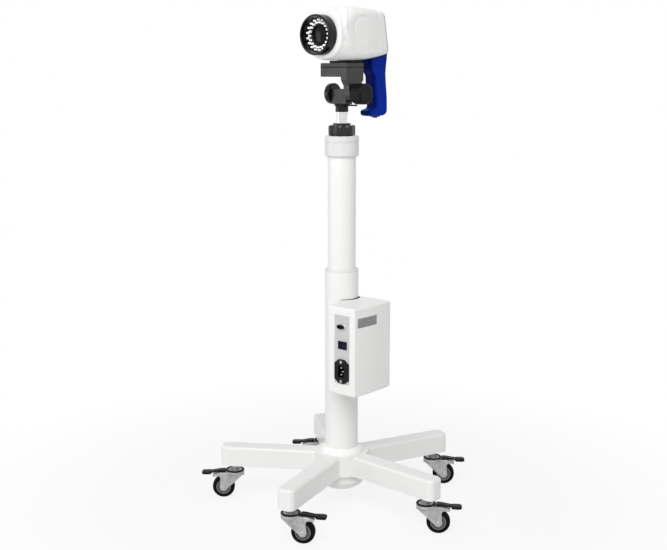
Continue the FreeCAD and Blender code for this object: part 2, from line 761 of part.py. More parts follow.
def tilt_axle():
    disc = rod_x(TILT_DISC_R, -BLOCK_X - TILT_DISC_T, -BLOCK_X, 0, TILT_Z)
    disc = disc.makeFillet(TILT_DISC_EDGE, round_edges(disc))
    shaft = rod_x(TILT_AXLE_R, -BLOCK_X - THROUGH, LEG_OUT + KNOB_LENGTH - TILT_AXLE_SHORT, 0, TILT_Z)
    return disc.fuse(shaft).removeSplitter()


def tilt_knob():
    x0 = LEG_OUT + PART_GAP
    x1 = LEG_OUT + KNOB_LENGTH
    body = rod_x(KNOB_R, x0, x1, 0, TILT_Z)
    body = body.makeFillet(KNOB_EDGE_R, round_edges(body))
    bore_end = x1 - TILT_AXLE_SHORT + PART_GAP
    return body.cut(rod_x(TILT_AXLE_R + RUN_GAP, x0 - THROUGH, bore_end, 0, TILT_Z))


def bracket():
    table = box(-BRACKET_HALF, LEG_OUT, BRACKET_FRONT, BRACKET_BACK, BRACKET_LOW, BRACKET_HIGH)
    free_edges = [e for e in edges_along(table, V(0, 1, 0)) if e.CenterOfMass.x < 0]
    table = table.makeFillet(BRACKET_EDGE_R, free_edges)
    leg = prism(
        [
            V(LEG_IN, BRACKET_FRONT, BRACKET_LOW + THROUGH),
            V(LEG_IN, BRACKET_FRONT, BRACKET_LOW - LEG_SHOULDER),
            V(LEG_IN, -EYE_R - LEG_FLARE, TILT_Z + EYE_R),
            V(LEG_IN, -EYE_R, TILT_Z),
            V(LEG_IN, EYE_R, TILT_Z),
            V(LEG_IN, EYE_R + LEG_FLARE, TILT_Z + EYE_R),
            V(LEG_IN, BRACKET_BACK, BRACKET_LOW - LEG_SHOULDER),
            V(LEG_IN, BRACKET_BACK, BRACKET_LOW + THROUGH),
        ],
        V(LEG_OUT - LEG_IN, 0, 0),
    )
    eye = rod_x(EYE_R, LEG_IN, LEG_OUT, 0, TILT_Z)
    body = table.fuse(leg).fuse(eye).removeSplitter()
    tail = prism(
        [
            V(-DOVETAIL_HALF_HIGH, BRACKET_FRONT - THROUGH, BRACKET_HIGH),
            V(DOVETAIL_HALF_HIGH, BRACKET_FRONT - THROUGH, BRACKET_HIGH),
            V(DOVETAIL_HALF_LOW, BRACKET_FRONT - THROUGH, BRACKET_HIGH - DOVETAIL_DEPTH),
            V(-DOVETAIL_HALF_LOW, BRACKET_FRONT - THROUGH, BRACKET_HIGH - DOVETAIL_DEPTH),
        ],
        V(0, BRACKET_BACK - BRACKET_FRONT + 2 * THROUGH, 0),
    )
    body = body.cut(tail)
    return body.cut(rod_x(TILT_AXLE_R + RUN_GAP, LEG_IN - THROUGH, LEG_OUT + THROUGH, 0, TILT_Z))


def slide_plate():
    low = BRACKET_HIGH + SEAT_GAP
    plate = box(-BRACKET_HALF, BRACKET_HALF, BRACKET_FRONT, BRACKET_BACK, low, SLIDE_HIGH)
    upper = [e for e in edges_along(plate, V(0, 1, 0)) if e.CenterOfMass.z > SLIDE_HIGH - THROUGH]
    plate = plate.makeFillet(SLIDE_EDGE_R, upper)
    gap = SLIDE_GAP
    tail = prism(
        [
            V(-DOVETAIL_HALF_HIGH + gap, BRACKET_FRONT, BRACKET_HIGH + THROUGH),
            V(DOVETAIL_HALF_HIGH - gap, BRACKET_FRONT, BRACKET_HIGH + THROUGH),
            V(DOVETAIL_HALF_HIGH - gap, BRACKET_FRONT, BRACKET_HIGH),
            V(DOVETAIL_HALF_LOW - 2 * gap, BRACKET_FRONT, BRACKET_HIGH - DOVETAIL_DEPTH + gap),
            V(-DOVETAIL_HALF_LOW + 2 * gap, BRACKET_FRONT, BRACKET_HIGH - DOVETAIL_DEPTH + gap),
            V(-DOVETAIL_HALF_HIGH + gap, BRACKET_FRONT, BRACKET_HIGH),
        ],
        V(0, BRACKET_BACK - BRACKET_FRONT, 0),
    )
    body = plate.fuse(tail).removeSplitter()
    head_low = SLIDE_HIGH - CAMERA_SCREW_HEAD_H
    return body.cut(rod_z(CAMERA_SCREW_HEAD_R + SEAT_GAP, head_low, SLIDE_HIGH + THROUGH))


def mount_shoe():
    shoe = box(-SHOE_HALF, SHOE_HALF, SHOE_FRONT, SHOE_BACK, SLIDE_HIGH, SHOE_HIGH)
    shoe = shoe.cut(head_blank(-SEAT_GAP))
    return shoe.cut(rod_z(CAMERA_SCREW_R + SEAT_GAP, SLIDE_HIGH - THROUGH, SHOE_HIGH + THROUGH))


def camera_screw():
    head = rod_z(CAMERA_SCREW_HEAD_R, SLIDE_HIGH - CAMERA_SCREW_HEAD_H, SLIDE_HIGH)
    return head.fuse(rod_z(CAMERA_SCREW_R, SLIDE_HIGH - THROUGH, CAMERA_SCREW_TOP)).removeSplitter()


# Camera head

def section_wire(back, half_x, half_z, corner, rise):
    """Rounded rectangle standing across the head axis."""
    x1, z1 = half_x, half_z
    x0, z0 = half_x - corner, half_z - corner
    diag = corner * math.sqrt(0.5)
    edges = []
    corners = ((1, 1), (-1, 1), (-1, -1), (1, -1))
    arcs = []
    for sx, sz in corners:
        a = V(sx * x1, back, sz * z0)
        b = V(sx * x0, back, sz * z1)
        mid = V(sx * (x0 + diag), back, sz * (z0 + diag))
        arcs.append((a, mid, b) if sx == sz else (b, mid, a))
    for index, (a, mid, b) in enumerate(arcs):
        edges.append(Part.Arc(a, mid, b).toShape())
        after = arcs[(index + 1) % len(arcs)][0]
        edges.append(Part.makeLine(b, after))
    return Part.Wire(edges).translated(V(0, 0, HEAD_AXIS_Z + rise))


def head_blank(inset):
    wires = []
    for back, half_x, half_z, corner, rise in HEAD_SECTIONS:
        wires.append(section_wire(back, half_x - inset, half_z - inset, corner - inset, rise))
    return Part.makeLoft(wires, True, False)


def rear_side(offset):
    """Everything behind the sloping rear plane moved back by an offset."""
    low = HEAD_AXIS_Z - HEAD_REAR_DROP
    high = HEAD_AXIS_Z + HEAD_REAR_RISE
    slope = (HEAD_REAR_TOP - HEAD_REAR_LOW) / (high - low)
    reach = HEAD_CUT_SIZE / 2
    z0 = low - reach
    z1 = high + reach
    points = [
        V(-reach, HEAD_REAR_LOW - slope * reach + offset, z0),
        V(-reach, HEAD_REAR_TOP + slope * reach + offset, z1),
        V(-reach, HEAD_REAR_LOW + HEAD_CUT_SIZE, z1),
        V(-reach, HEAD_REAR_LOW + HEAD_CUT_SIZE, z0),
    ]
    return prism(points, V(HEAD_CUT_SIZE, 0, 0))


def front_side(back):
    """Everything in front of a plane across the head axis."""
    half = HEAD_CUT_SIZE / 2
    return box(-half, half, HEAD_FRONT - HEAD_CUT_SIZE, back, HEAD_AXIS_Z - half, HEAD_AXIS_Z + half)


def head_shell():
    """Hollow shell with a front wall bored for the bezel sleeve."""
    body = head_blank(0.0).cut(rear_side(-REAR_COVER_T))
    hollow = head_blank(HEAD_WALL).cut(front_side(HEAD_FRONT + HEAD_FRONT_WALL))
    body = body.cut(hollow)
    bore = rod_y(BEZEL_SEAT_R + SEAT_GAP, HEAD_FRONT - THROUGH, BEZEL_BACK, 0, LENS_Z)
    body = body.cut(bore)
    return body.cut(rod_z(CAMERA_SCREW_R + SEAT_GAP, SLIDE_HIGH, CAMERA_SCREW_TOP))


def rear_cover():
    return head_blank(0.0).common(rear_side(-REAR_COVER_T + PART_GAP)).cut(rear_side(0.0))


def bezel():
    """Black front ring with a flared mouth, a floor for the lamp board and a rear sleeve."""
    points = [
        (BEZEL_R, BEZEL_FRONT + BEZEL_EDGE),
        (BEZEL_R - BEZEL_EDGE, BEZEL_FRONT),
        (BEZEL_MOUTH_R, BEZEL_FRONT),
        (BEZEL_THROAT_R, BEZEL_THROAT_Y),
        (BEZEL_THROAT_R, BEZEL_BACK),
        (BEZEL_SEAT_R, BEZEL_BACK),
        (BEZEL_SEAT_R, HEAD_FRONT),
        (BEZEL_R, HEAD_FRONT),
    ]
    return turned_y(points, LENS_Z)


def lamp_board():
    front = BEZEL_THROAT_Y + LAMP_BOARD_SET
    board = rod_y(BEZEL_THROAT_R - SEAT_GAP, front, front + LAMP_BOARD_T, 0, LENS_Z)
    back = front + LAMP_BOARD_T
    return board.cut(rod_y(LENS_BARREL_R + SEAT_GAP, front - THROUGH, back + THROUGH, 0, LENS_Z))


def lamps():
    front = BEZEL_THROAT_Y + LAMP_BOARD_SET
    domes = []
    for radius, shift in ((LAMP_RING_OUT, 0.0), (LAMP_RING_IN, 0.5)):
        for index in range(LAMP_COUNT):
            angle = 2 * math.pi * (index + shift) / LAMP_COUNT
            x = radius * math.cos(angle)
            z = LENS_Z + radius * math.sin(angle)
            body = rod_y(LAMP_R, front - LAMP_H + LAMP_R, front, x, z)
            dome = Part.makeSphere(LAMP_R, V(x, front - LAMP_H + LAMP_R, z))
            dome = dome.common(rod_y(LAMP_R, front - 2 * LAMP_H, front, x, z))
            domes.append(body.fuse(dome).removeSplitter())
    return Part.makeCompound(domes)


def lens_barrel():
    front = LENS_BARREL_FRONT
    back = front + LENS_BARREL_LENGTH
    barrel = rod_y(LENS_BARREL_R, front, back, 0, LENS_Z)
    return barrel.cut(rod_y(LENS_BORE_R, front - THROUGH, back - LENS_BARREL_FLOOR, 0, LENS_Z))


def lens_glass():
    front = LENS_BARREL_FRONT + LENS_GLASS_SET
    radius = LENS_BORE_R - SEAT_GAP
    disc = rod_y(radius, front, front + LENS_GLASS_T, 0, LENS_Z)
    cap_r = (LENS_BORE_R**2 + LENS_GLASS_BULGE**2) / (2 * LENS_GLASS_BULGE)
    cap = Part.makeSphere(cap_r, V(0, front - LENS_GLASS_BULGE + cap_r, LENS_Z))
    cap = cap.common(rod_y(radius, front - LENS_GLASS_BULGE - THROUGH, front + THROUGH, 0, LENS_Z))
    return disc.fuse(cap).removeSplitter()


def camera_block():
    front = LENS_BARREL_FRONT + LENS_BARREL_LENGTH
    half = CAMERA_BLOCK_HALF
    body = box(-half, half, front, front + CAMERA_BLOCK_LENGTH, LENS_Z - half, LENS_Z + half)
    back = front + CAMERA_BLOCK_LENGTH
    foot_top = LENS_Z - half + THROUGH
    foot = box(-half, half, front + CAMERA_FOOT_IN, back - CAMERA_FOOT_IN, SLIDE_HIGH, foot_top)
    foot = foot.common(head_blank(HEAD_WALL + SEAT_GAP))
    hole = rod_z(CAMERA_SCREW_R + SEAT_GAP, SLIDE_HIGH, CAMERA_SCREW_TOP + PART_GAP)
    return body.fuse(foot).removeSplitter().cut(hole)


# Grip

def grip():
    """Lofted handle with a toe at its front foot, cut to the underside of the head."""
    low = GRIP_LOW + GRIP_CAP_T
    sections = []
    for rise, front, back, half in GRIP_SECTIONS:
        sections.append(plan_wire(front, back, half, GRIP_CORNER, low + rise))
    body = Part.makeLoft(sections, True, False)
    toe = prism(
        [
            V(-GRIP_TOE_HALF, GRIP_TOE_Y, low + GRIP_TOE_NOSE),
            V(-GRIP_TOE_HALF, GRIP_TOE_Y + GRIP_TOE_NOSE, low),
            V(-GRIP_TOE_HALF, GRIP_TOE_ROOT_Y, low),
            V(-GRIP_TOE_HALF, GRIP_TOE_ROOT_Y, low + GRIP_TOE_WEB_RISE),
            V(-GRIP_TOE_HALF, GRIP_TOE_WEB_Y, low + GRIP_TOE_WEB_RISE),
            V(-GRIP_TOE_HALF, GRIP_TOE_CREST_Y, low + GRIP_TOE_RISE),
            V(-GRIP_TOE_HALF, GRIP_TOE_Y + GRIP_TOE_NOSE, low + 2 * GRIP_TOE_NOSE),
        ],
        V(2 * GRIP_TOE_HALF, 0, 0),
    )
    toe = toe.makeFillet(GRIP_TOE_EDGE_R, edges_along(toe, V(1, 0, 0)))
    return body.fuse(toe).cut(head_blank(-SEAT_GAP)).removeSplitter()


def plan_wire(front, back, half, corner, z):
    """Rounded rectangle lying flat."""
    diag = corner * (1 - math.sqrt(0.5))
    edges = []
    ends = (
        (V(half, back - corner, z), V(half - diag, back - diag, z), V(half - corner, back, z)),
        (V(-half + corner, back, z), V(-half + diag, back - diag, z), V(-half, back - corner, z)),
        (V(-half, front + corner, z), V(-half + diag, front + diag, z), V(-half + corner, front, z)),
        (V(half - corner, front, z), V(half - diag, front + diag, z), V(half, front + corner, z)),
    )
    for index, (a, mid, b) in enumerate(ends):
        edges.append(Part.Arc(a, mid, b).toShape())
        edges.append(Part.makeLine(b, ends[(index + 1) % len(ends)][0]))
    return Part.Wire(edges)


def grip_cap():
    """Plate closing the foot of the handle, with a round boss below."""
    rise, front, back, half = GRIP_SECTIONS[0]
    top = GRIP_LOW + GRIP_CAP_T
    inset = GRIP_CAP_SET
    outline = plan_wire(front + inset, back - inset, half - inset, GRIP_CORNER - inset, GRIP_LOW)
    plate = Part.Face(outline).extrude(V(0, 0, top - GRIP_LOW))
    boss = rod_z(GRIP_CAP_R, GRIP_LOW - GRIP_CAP_BOSS, GRIP_LOW + THROUGH, 0, (front + back) / 2)
    return plate.fuse(boss).removeSplitter()


# Power box

def box_blank(inset):
    """Rounded box with a bulged outer side."""
    x0, x1 = BOX_X0 + inset, BOX_X1 - inset
    y0, y1 = BOX_Y0 + inset, BOX_Y1 - inset
    z0, z1 = BOX_Z0 + inset, BOX_Z1 - inset
    middle = (y0 + y1) / 2
    edges = [
        Part.makeLine(V(x0, y0, z0), V(x1, y0, z0)),
        Part.Arc(V(x1, y0, z0), V(x1 + BOX_BULGE, middle, z0), V(x1, y1, z0)).toShape(),
        Part.makeLine(V(x1, y1, z0), V(x0, y1, z0)),
        Part.makeLine(V(x0, y1, z0), V(x0, y0, z0)),
    ]
    return Part.Face(Part.Wire(edges)).extrude(V(0, 0, z1 - z0))


def box_shell():
    body = box_blank(0.0)
    rounded = [e for e in body.Edges if e.BoundBox.XMax > BOX_X0 + THROUGH]
    body = body.makeFillet(BOX_EDGE_R, rounded)
    hollow = box_blank(BOX_WALL)
    body = body.cut(hollow)
    lid_room = box(
        BOX_X0 - THROUGH, BOX_X0 + BOX_WALL + SEAT_GAP,
        BOX_Y0 + BOX_EDGE_R, BOX_Y1 - BOX_EDGE_R,
        BOX_Z0 + BOX_EDGE_R, BOX_Z1 - BOX_EDGE_R,
    )
    body = body.cut(lid_room)
    body = body.fuse(saddle()).removeSplitter()
    body = body.cut(panel_room())
    window = box(
        PANEL_X - PANEL_HALF + PANEL_LEDGE, PANEL_X + PANEL_HALF - PANEL_LEDGE,
        BOX_Y0 - THROUGH, BOX_Y0 + BOX_WALL + THROUGH,
        PANEL_LOW + PANEL_LEDGE, PANEL_HIGH - PANEL_LEDGE,
    )
    return body.cut(window)


def saddle():
    """Tongue of the box top that reaches round the tube."""
    low = BOX_Z1 - BOX_WALL
    tongue = box(SADDLE_X, BOX_X0 + BOX_WALL, -SADDLE_HALF, SADDLE_HALF, low, BOX_Z1)
    return tongue.cut(rod_z(OUTER_R + SADDLE_GAP, low - THROUGH, BOX_Z1 + THROUGH))


def panel_room():
    """Shallow rebate the panel lies in."""
    return box(
        PANEL_X - PANEL_HALF - SEAT_GAP, PANEL_X + PANEL_HALF + SEAT_GAP,
        BOX_Y0 - THROUGH, BOX_Y0 + PANEL_SET + PANEL_T,
        PANEL_LOW - SEAT_GAP, PANEL_HIGH + SEAT_GAP,
    )


def inlet_outline(grow, y0, y1):
    points = [
        V(PANEL_X - INLET_HALF_X - grow, y0, INLET_Z - INLET_HALF_Z),
        V(PANEL_X - INLET_HALF_X - grow, y0, INLET_Z + INLET_HALF_Z),
        V(PANEL_X - INLET_END_HALF, y0, INLET_Z + INLET_END_Z + grow),
        V(PANEL_X + INLET_END_HALF, y0, INLET_Z + INLET_END_Z + grow),
        V(PANEL_X + INLET_HALF_X + grow, y0, INLET_Z + INLET_HALF_Z),
        V(PANEL_X + INLET_HALF_X + grow, y0, INLET_Z - INLET_HALF_Z),
        V(PANEL_X + INLET_END_HALF, y0, INLET_Z - INLET_END_Z - grow),
        V(PANEL_X - INLET_END_HALF, y0, INLET_Z - INLET_END_Z - grow),
    ]
    return prism(points, V(0, y1 - y0, 0))


def inlet_mouth(grow, y0, y1):
    """Six-sided connector outline with two corners cut away."""
    wide = INLET_MOUTH_HALF_X + grow
    tall = INLET_MOUTH_HALF_Z + grow
    cut = INLET_MOUTH_CUT
    points = [
        V(PANEL_X - tall, y0, INLET_Z - wide),
        V(PANEL_X - tall, y0, INLET_Z + wide),
        V(PANEL_X + tall - cut, y0, INLET_Z + wide),
        V(PANEL_X + tall, y0, INLET_Z + wide - cut),
        V(PANEL_X + tall, y0, INLET_Z - wide + cut),
        V(PANEL_X + tall - cut, y0, INLET_Z - wide),
    ]
    return prism(points, V(0, y1 - y0, 0))


def front_y():
    return BOX_Y0 + PANEL_SET


def box_panel():
    y0 = front_y()
    y1 = y0 + PANEL_T
    plate = box(PANEL_X - PANEL_HALF, PANEL_X + PANEL_HALF, y0, y1, PANEL_LOW, PANEL_HIGH)
    plate = plate.cut(inlet_mouth(INLET_BODY_WALL + SEAT_GAP, y0 - THROUGH, y1 + THROUGH))
    for sign in (-1, 1):
        z = INLET_Z + sign * INLET_SCREW_PITCH / 2
        plate = plate.cut(rod_y(INLET_SCREW_R, y0 - THROUGH, y1 + THROUGH, PANEL_X, z))
    plate = plate.cut(rocker_room(SEAT_GAP, y0 - THROUGH, y1 + THROUGH))
    return plate.cut(rod_y(SOCKET_R + SEAT_GAP, y0 - THROUGH, y1 + THROUGH, SOCKET_X, SOCKET_Z))


def rocker_room(gap, y0, y1):
    return box(
        ROCKER_X - ROCKER_HALF_X + ROCKER_RIM - gap, ROCKER_X + ROCKER_HALF_X - ROCKER_RIM + gap,
        y0, y1,
        ROCKER_Z - ROCKER_HALF_Z + ROCKER_RIM - gap, ROCKER_Z + ROCKER_HALF_Z - ROCKER_RIM + gap,
    )


def mains_inlet():
    y0 = front_y()
    flange = inlet_outline(0.0, y0 - INLET_FLANGE_T, y0)
    front_edges = [e for e in flange.Edges if e.BoundBox.YMax < y0 - INLET_FLANGE_T / 2]
    flange = flange.makeFillet(INLET_EDGE_R, front_edges)
    body = inlet_mouth(INLET_BODY_WALL, y0 - THROUGH, y0 + INLET_MOUTH_DEPTH + INLET_BODY_WALL)
    whole = flange.fuse(body).removeSplitter()
    front = y0 - INLET_FLANGE_T
    whole = whole.cut(inlet_mouth(0.0, front - THROUGH, front + INLET_MOUTH_DEPTH))
    for sign in (-1, 1):
        z = INLET_Z + sign * INLET_SCREW_PITCH / 2
        whole = whole.cut(rod_y(INLET_SCREW_R, front - THROUGH, y0 + THROUGH, PANEL_X, z))
    return whole


def inlet_pins():
    y1 = front_y() + INLET_MOUTH_DEPTH - INLET_FLANGE_T
    pins = []
    for side in (-1, 0, 1):
        x = PANEL_X + INLET_PIN_DROP * (0.5 - abs(side))
        z = INLET_Z + side * INLET_PIN_PITCH
        pins.append(
            box(
                x - INLET_PIN_Z, x + INLET_PIN_Z,
                y1 - INLET_PIN_LENGTH, y1,
                z - INLET_PIN_X, z + INLET_PIN_X,
            )
        )
    return Part.makeCompound(pins)


def inlet_screws():
    y0 = front_y() - INLET_FLANGE_T
    screws = []
    for sign in (-1, 1):
        z = INLET_Z + sign * INLET_SCREW_PITCH / 2
        head = rod_y(INLET_SCREW_HEAD_R, y0 - INLET_SCREW_HEAD_H, y0, PANEL_X, z)
        slot = box(
            PANEL_X - INLET_SCREW_HEAD_R, PANEL_X + INLET_SCREW_HEAD_R,
            y0 - INLET_SCREW_HEAD_H - THROUGH, y0 - INLET_SCREW_HEAD_H + INLET_SCREW_SLOT_D,
            z - INLET_SCREW_SLOT_W / 2, z + INLET_SCREW_SLOT_W / 2,
        )
        head = head.cut(slot)
        shank = rod_y(INLET_SCREW_R - SEAT_GAP, y0 - PART_GAP, y0 + INLET_SCREW_LENGTH, PANEL_X, z)
        screws.append(head.fuse(shank).removeSplitter())
    return Part.makeCompound(screws)


def rocker_frame():
    y0 = front_y()
    rim = box(
        ROCKER_X - ROCKER_HALF_X, ROCKER_X + ROCKER_HALF_X,
        y0 - ROCKER_RIM_T, y0,
        ROCKER_Z - ROCKER_HALF_Z, ROCKER_Z + ROCKER_HALF_Z,
    )
    tub = rocker_room(0.0, y0 - ROCKER_RIM_T / 2, y0 + ROCKER_DEPTH)
    room = rocker_room(-ROCKER_WALL, y0 - ROCKER_RIM_T - THROUGH, y0 + ROCKER_DEPTH - ROCKER_WALL)
    return rim.fuse(tub).removeSplitter().cut(room)


def rocker():
    """Wedge-faced key rocking about a pin across its middle."""
    half_x = ROCKER_HALF_X - ROCKER_RIM - ROCKER_WALL - MOVE_GAP
    half_z = ROCKER_HALF_Z - ROCKER_RIM - ROCKER_WALL - PART_GAP
    y0 = front_y() - ROCKER_RIM_T
    points = [
        V(ROCKER_X - half_x, y0 - ROCKER_PROUD, ROCKER_Z - half_z),
        V(ROCKER_X, y0 + ROCKER_DIP, ROCKER_Z - half_z),
        V(ROCKER_X + half_x, y0 + ROCKER_FLAT, ROCKER_Z - half_z),
        V(ROCKER_X + half_x - ROCKER_TAPER_OFF, y0 + ROCKER_SIDE_DEPTH, ROCKER_Z - half_z),
        V(ROCKER_X, y0 + ROCKER_KEEL_DEPTH, ROCKER_Z - half_z),
        V(ROCKER_X - half_x + ROCKER_TAPER_ON, y0 + ROCKER_SIDE_DEPTH, ROCKER_Z - half_z),
    ]
    return prism(points, V(0, 0, 2 * half_z))


def video_socket():
    y0 = front_y()
    flange = rod_y(SOCKET_FLANGE_R, y0 - SOCKET_FLANGE_T, y0, SOCKET_X, SOCKET_Z)
    barrel = rod_y(SOCKET_R, y0 - SOCKET_OUT, y0 + SOCKET_IN, SOCKET_X, SOCKET_Z)
    bore = rod_y(SOCKET_BORE_R, y0 - SOCKET_OUT - THROUGH, y0 + SOCKET_BORE_IN, SOCKET_X, SOCKET_Z)
    return flange.fuse(barrel).removeSplitter().cut(bore)


def box_lid():
    gap = SLIDE_GAP
    plate = box(
        BOX_X0, BOX_X0 + BOX_WALL,
        BOX_Y0 + BOX_EDGE_R + gap, BOX_Y1 - BOX_EDGE_R - gap,
        BOX_Z0 + BOX_EDGE_R + gap, BOX_Z1 - BOX_EDGE_R - gap,
    )
    for y, z in box_screw_places():
        hole = rod_x(BOX_SCREW_R + SEAT_GAP, BOX_X0 - THROUGH, BOX_X0 + BOX_WALL + THROUGH, y, z)
        plate = plate.cut(hole)
    return plate


def box_screw_places():
    return [(y, z) for z in PAD_Z for y in (-PAD_HALF_Y / 2, PAD_HALF_Y / 2)]


def tube_pads():
    pads = []
    for z in PAD_Z:
        pad = box(OUTER_R - PAD_WRAP, BOX_X0, -PAD_HALF_Y, PAD_HALF_Y, z - PAD_HALF_Z, z + PAD_HALF_Z)
        pad = pad.cut(rod_z(OUTER_R + SEAT_GAP, z - PAD_HALF_Z - THROUGH, z + PAD_HALF_Z + THROUGH))
        for y in (-PAD_HALF_Y / 2, PAD_HALF_Y / 2):
            pad = pad.cut(rod_x(BOX_SCREW_R + SEAT_GAP, 0, BOX_X0 + THROUGH, y, z))
        pads.append(pad)
    return Part.makeCompound(pads)


def box_screws():
    screws = []
    x1 = BOX_X0 + BOX_WALL
    for y, z in box_screw_places():
        head = rod_x(BOX_SCREW_HEAD_R, x1, x1 + BOX_SCREW_HEAD_H, y, z)
        shank = rod_x(BOX_SCREW_R - SEAT_GAP, OUTER_R - OUTER_WALL - BOX_SCREW_REACH, x1 + THROUGH, y, z)
        screws.append(head.fuse(shank).removeSplitter())
    return Part.makeCompound(screws)


def power_supply():
    """Board on four pillars with its transformer."""
    x0 = BOX_X0 + BOX_WALL + SUPPLY_STANDOFF
    y0, y1 = BOX_Y0 + SUPPLY_FRONT_ROOM, BOX_Y1 - SUPPLY_BACK_ROOM
    z0, z1 = BOX_Z0 + SUPPLY_END_ROOM, BOX_Z1 - SUPPLY_END_ROOM
    board = box(x0, x0 + SUPPLY_T, y0, y1, z0, z1)
    for z in (z0 + SUPPLY_PILLAR_IN, z1 - SUPPLY_PILLAR_IN):
        for y in (y0 + SUPPLY_PILLAR_IN, y1 - SUPPLY_PILLAR_IN):
            board = board.fuse(rod_x(SUPPLY_PILLAR_R, BOX_X0 + BOX_WALL, x0 + SUPPLY_T / 2, y, z))
    x1 = x0 + SUPPLY_T
    middle = BOX_Z0 + CORE_LIFT
    core = box(
        x1, x1 + CORE_HEIGHT,
        CORE_Y - CORE_HALF_Y, CORE_Y + CORE_HALF_Y,
        middle - CORE_HALF_Z, middle + CORE_HALF_Z,
    )
    coil = box(
        x1, x1 + COIL_HEIGHT,
        CORE_Y - COIL_HALF_Y, CORE_Y + COIL_HALF_Y,
        middle - COIL_HALF_Z, middle + COIL_HALF_Z,
    )
    coil = coil.makeFillet(COIL_EDGE_R, edges_along(coil, V(1, 0, 0)))
    return board.fuse(core).fuse(coil).removeSplitter()


NODES = {
    "base_star": base_star,
    "foot_collar": foot_collar,
    "hub_cup": hub_cup,
    "foot_bolt": foot_bolt,
    "castor_stems": castor_stems,
    "outer_tube": outer_tube,
    "rim_bush": rim_bush,
    "gas_cylinder": gas_cylinder,
    "gas_rod": gas_rod,
    "inner_tube": inner_tube,
    "top_collar": top_collar,
    "collet": collet,
    "clamp_nut": clamp_nut,
    "chrome_post": chrome_post,
    "post_collar": post_collar,
    "pan_block": pan_block,
    "pan_lever": pan_lever,
    "tilt_axle": tilt_axle,
    "tilt_knob": tilt_knob,
    "bracket": bracket,
    "slide_plate": slide_plate,
    "mount_shoe": mount_shoe,
    "camera_screw": camera_screw,
    "head_shell": head_shell,
    "rear_cover": rear_cover,
    "bezel": bezel,
    "lamp_board": lamp_board,
    "lamps": lamps,
    "lens_barrel": lens_barrel,
    "lens_glass": lens_glass,
    "camera_block": camera_block,
    "grip": grip,
    "grip_cap": grip_cap,
    "box_shell": box_shell,
    "box_lid": box_lid,
    "box_panel": box_panel,
    "box_screws": box_screws,
    "tube_pads": tube_pads,
    "mains_inlet": mains_inlet,
    "inlet_pins": inlet_pins,
    "inlet_screws": inlet_screws,
    "rocker_frame": rocker_frame,
    "rocker": rocker,
    "video_socket": video_socket,
    "power_supply": power_supply,
}

for name, make in NODES.items():
    write(name, make())

for index in range(ARM_COUNT):
    tag = "abcde"[index]
    write("fork_" + tag, place_castor(fork(), index))
    write("wheel_" + tag, place_castor(wheel(), index))
    write("brake_lever_" + tag, place_castor(brake_lever(), index))
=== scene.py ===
import json
import math

import bmesh
import bpy
from mathutils import Matrix, Vector

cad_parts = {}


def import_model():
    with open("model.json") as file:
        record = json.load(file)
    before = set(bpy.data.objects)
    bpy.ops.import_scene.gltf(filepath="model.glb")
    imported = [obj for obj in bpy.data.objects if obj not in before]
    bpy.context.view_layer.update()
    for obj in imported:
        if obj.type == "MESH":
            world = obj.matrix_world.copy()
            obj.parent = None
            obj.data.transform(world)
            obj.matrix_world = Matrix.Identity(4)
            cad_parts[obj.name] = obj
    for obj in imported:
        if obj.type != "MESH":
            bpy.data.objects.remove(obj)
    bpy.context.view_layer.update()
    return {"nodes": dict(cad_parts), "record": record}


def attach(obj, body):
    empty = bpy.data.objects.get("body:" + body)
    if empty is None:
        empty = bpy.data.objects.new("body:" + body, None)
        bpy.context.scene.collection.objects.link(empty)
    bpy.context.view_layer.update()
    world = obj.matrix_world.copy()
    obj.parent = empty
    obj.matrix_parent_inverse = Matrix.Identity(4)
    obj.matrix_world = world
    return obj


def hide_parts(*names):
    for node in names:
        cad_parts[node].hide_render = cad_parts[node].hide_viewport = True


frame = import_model()
nodes = frame["nodes"]

# Camera
CAMERA_PLACE = (1.47921, -1.72582, 0.9153)
CAMERA_TILT = 79.6
CAMERA_TURN = 41.03
CAMERA_LENS = 59.8


def mm(*values):
    scaled = tuple(v / 1000.0 for v in values)
    return scaled if len(scaled) > 1 else scaled[0]


# Materials

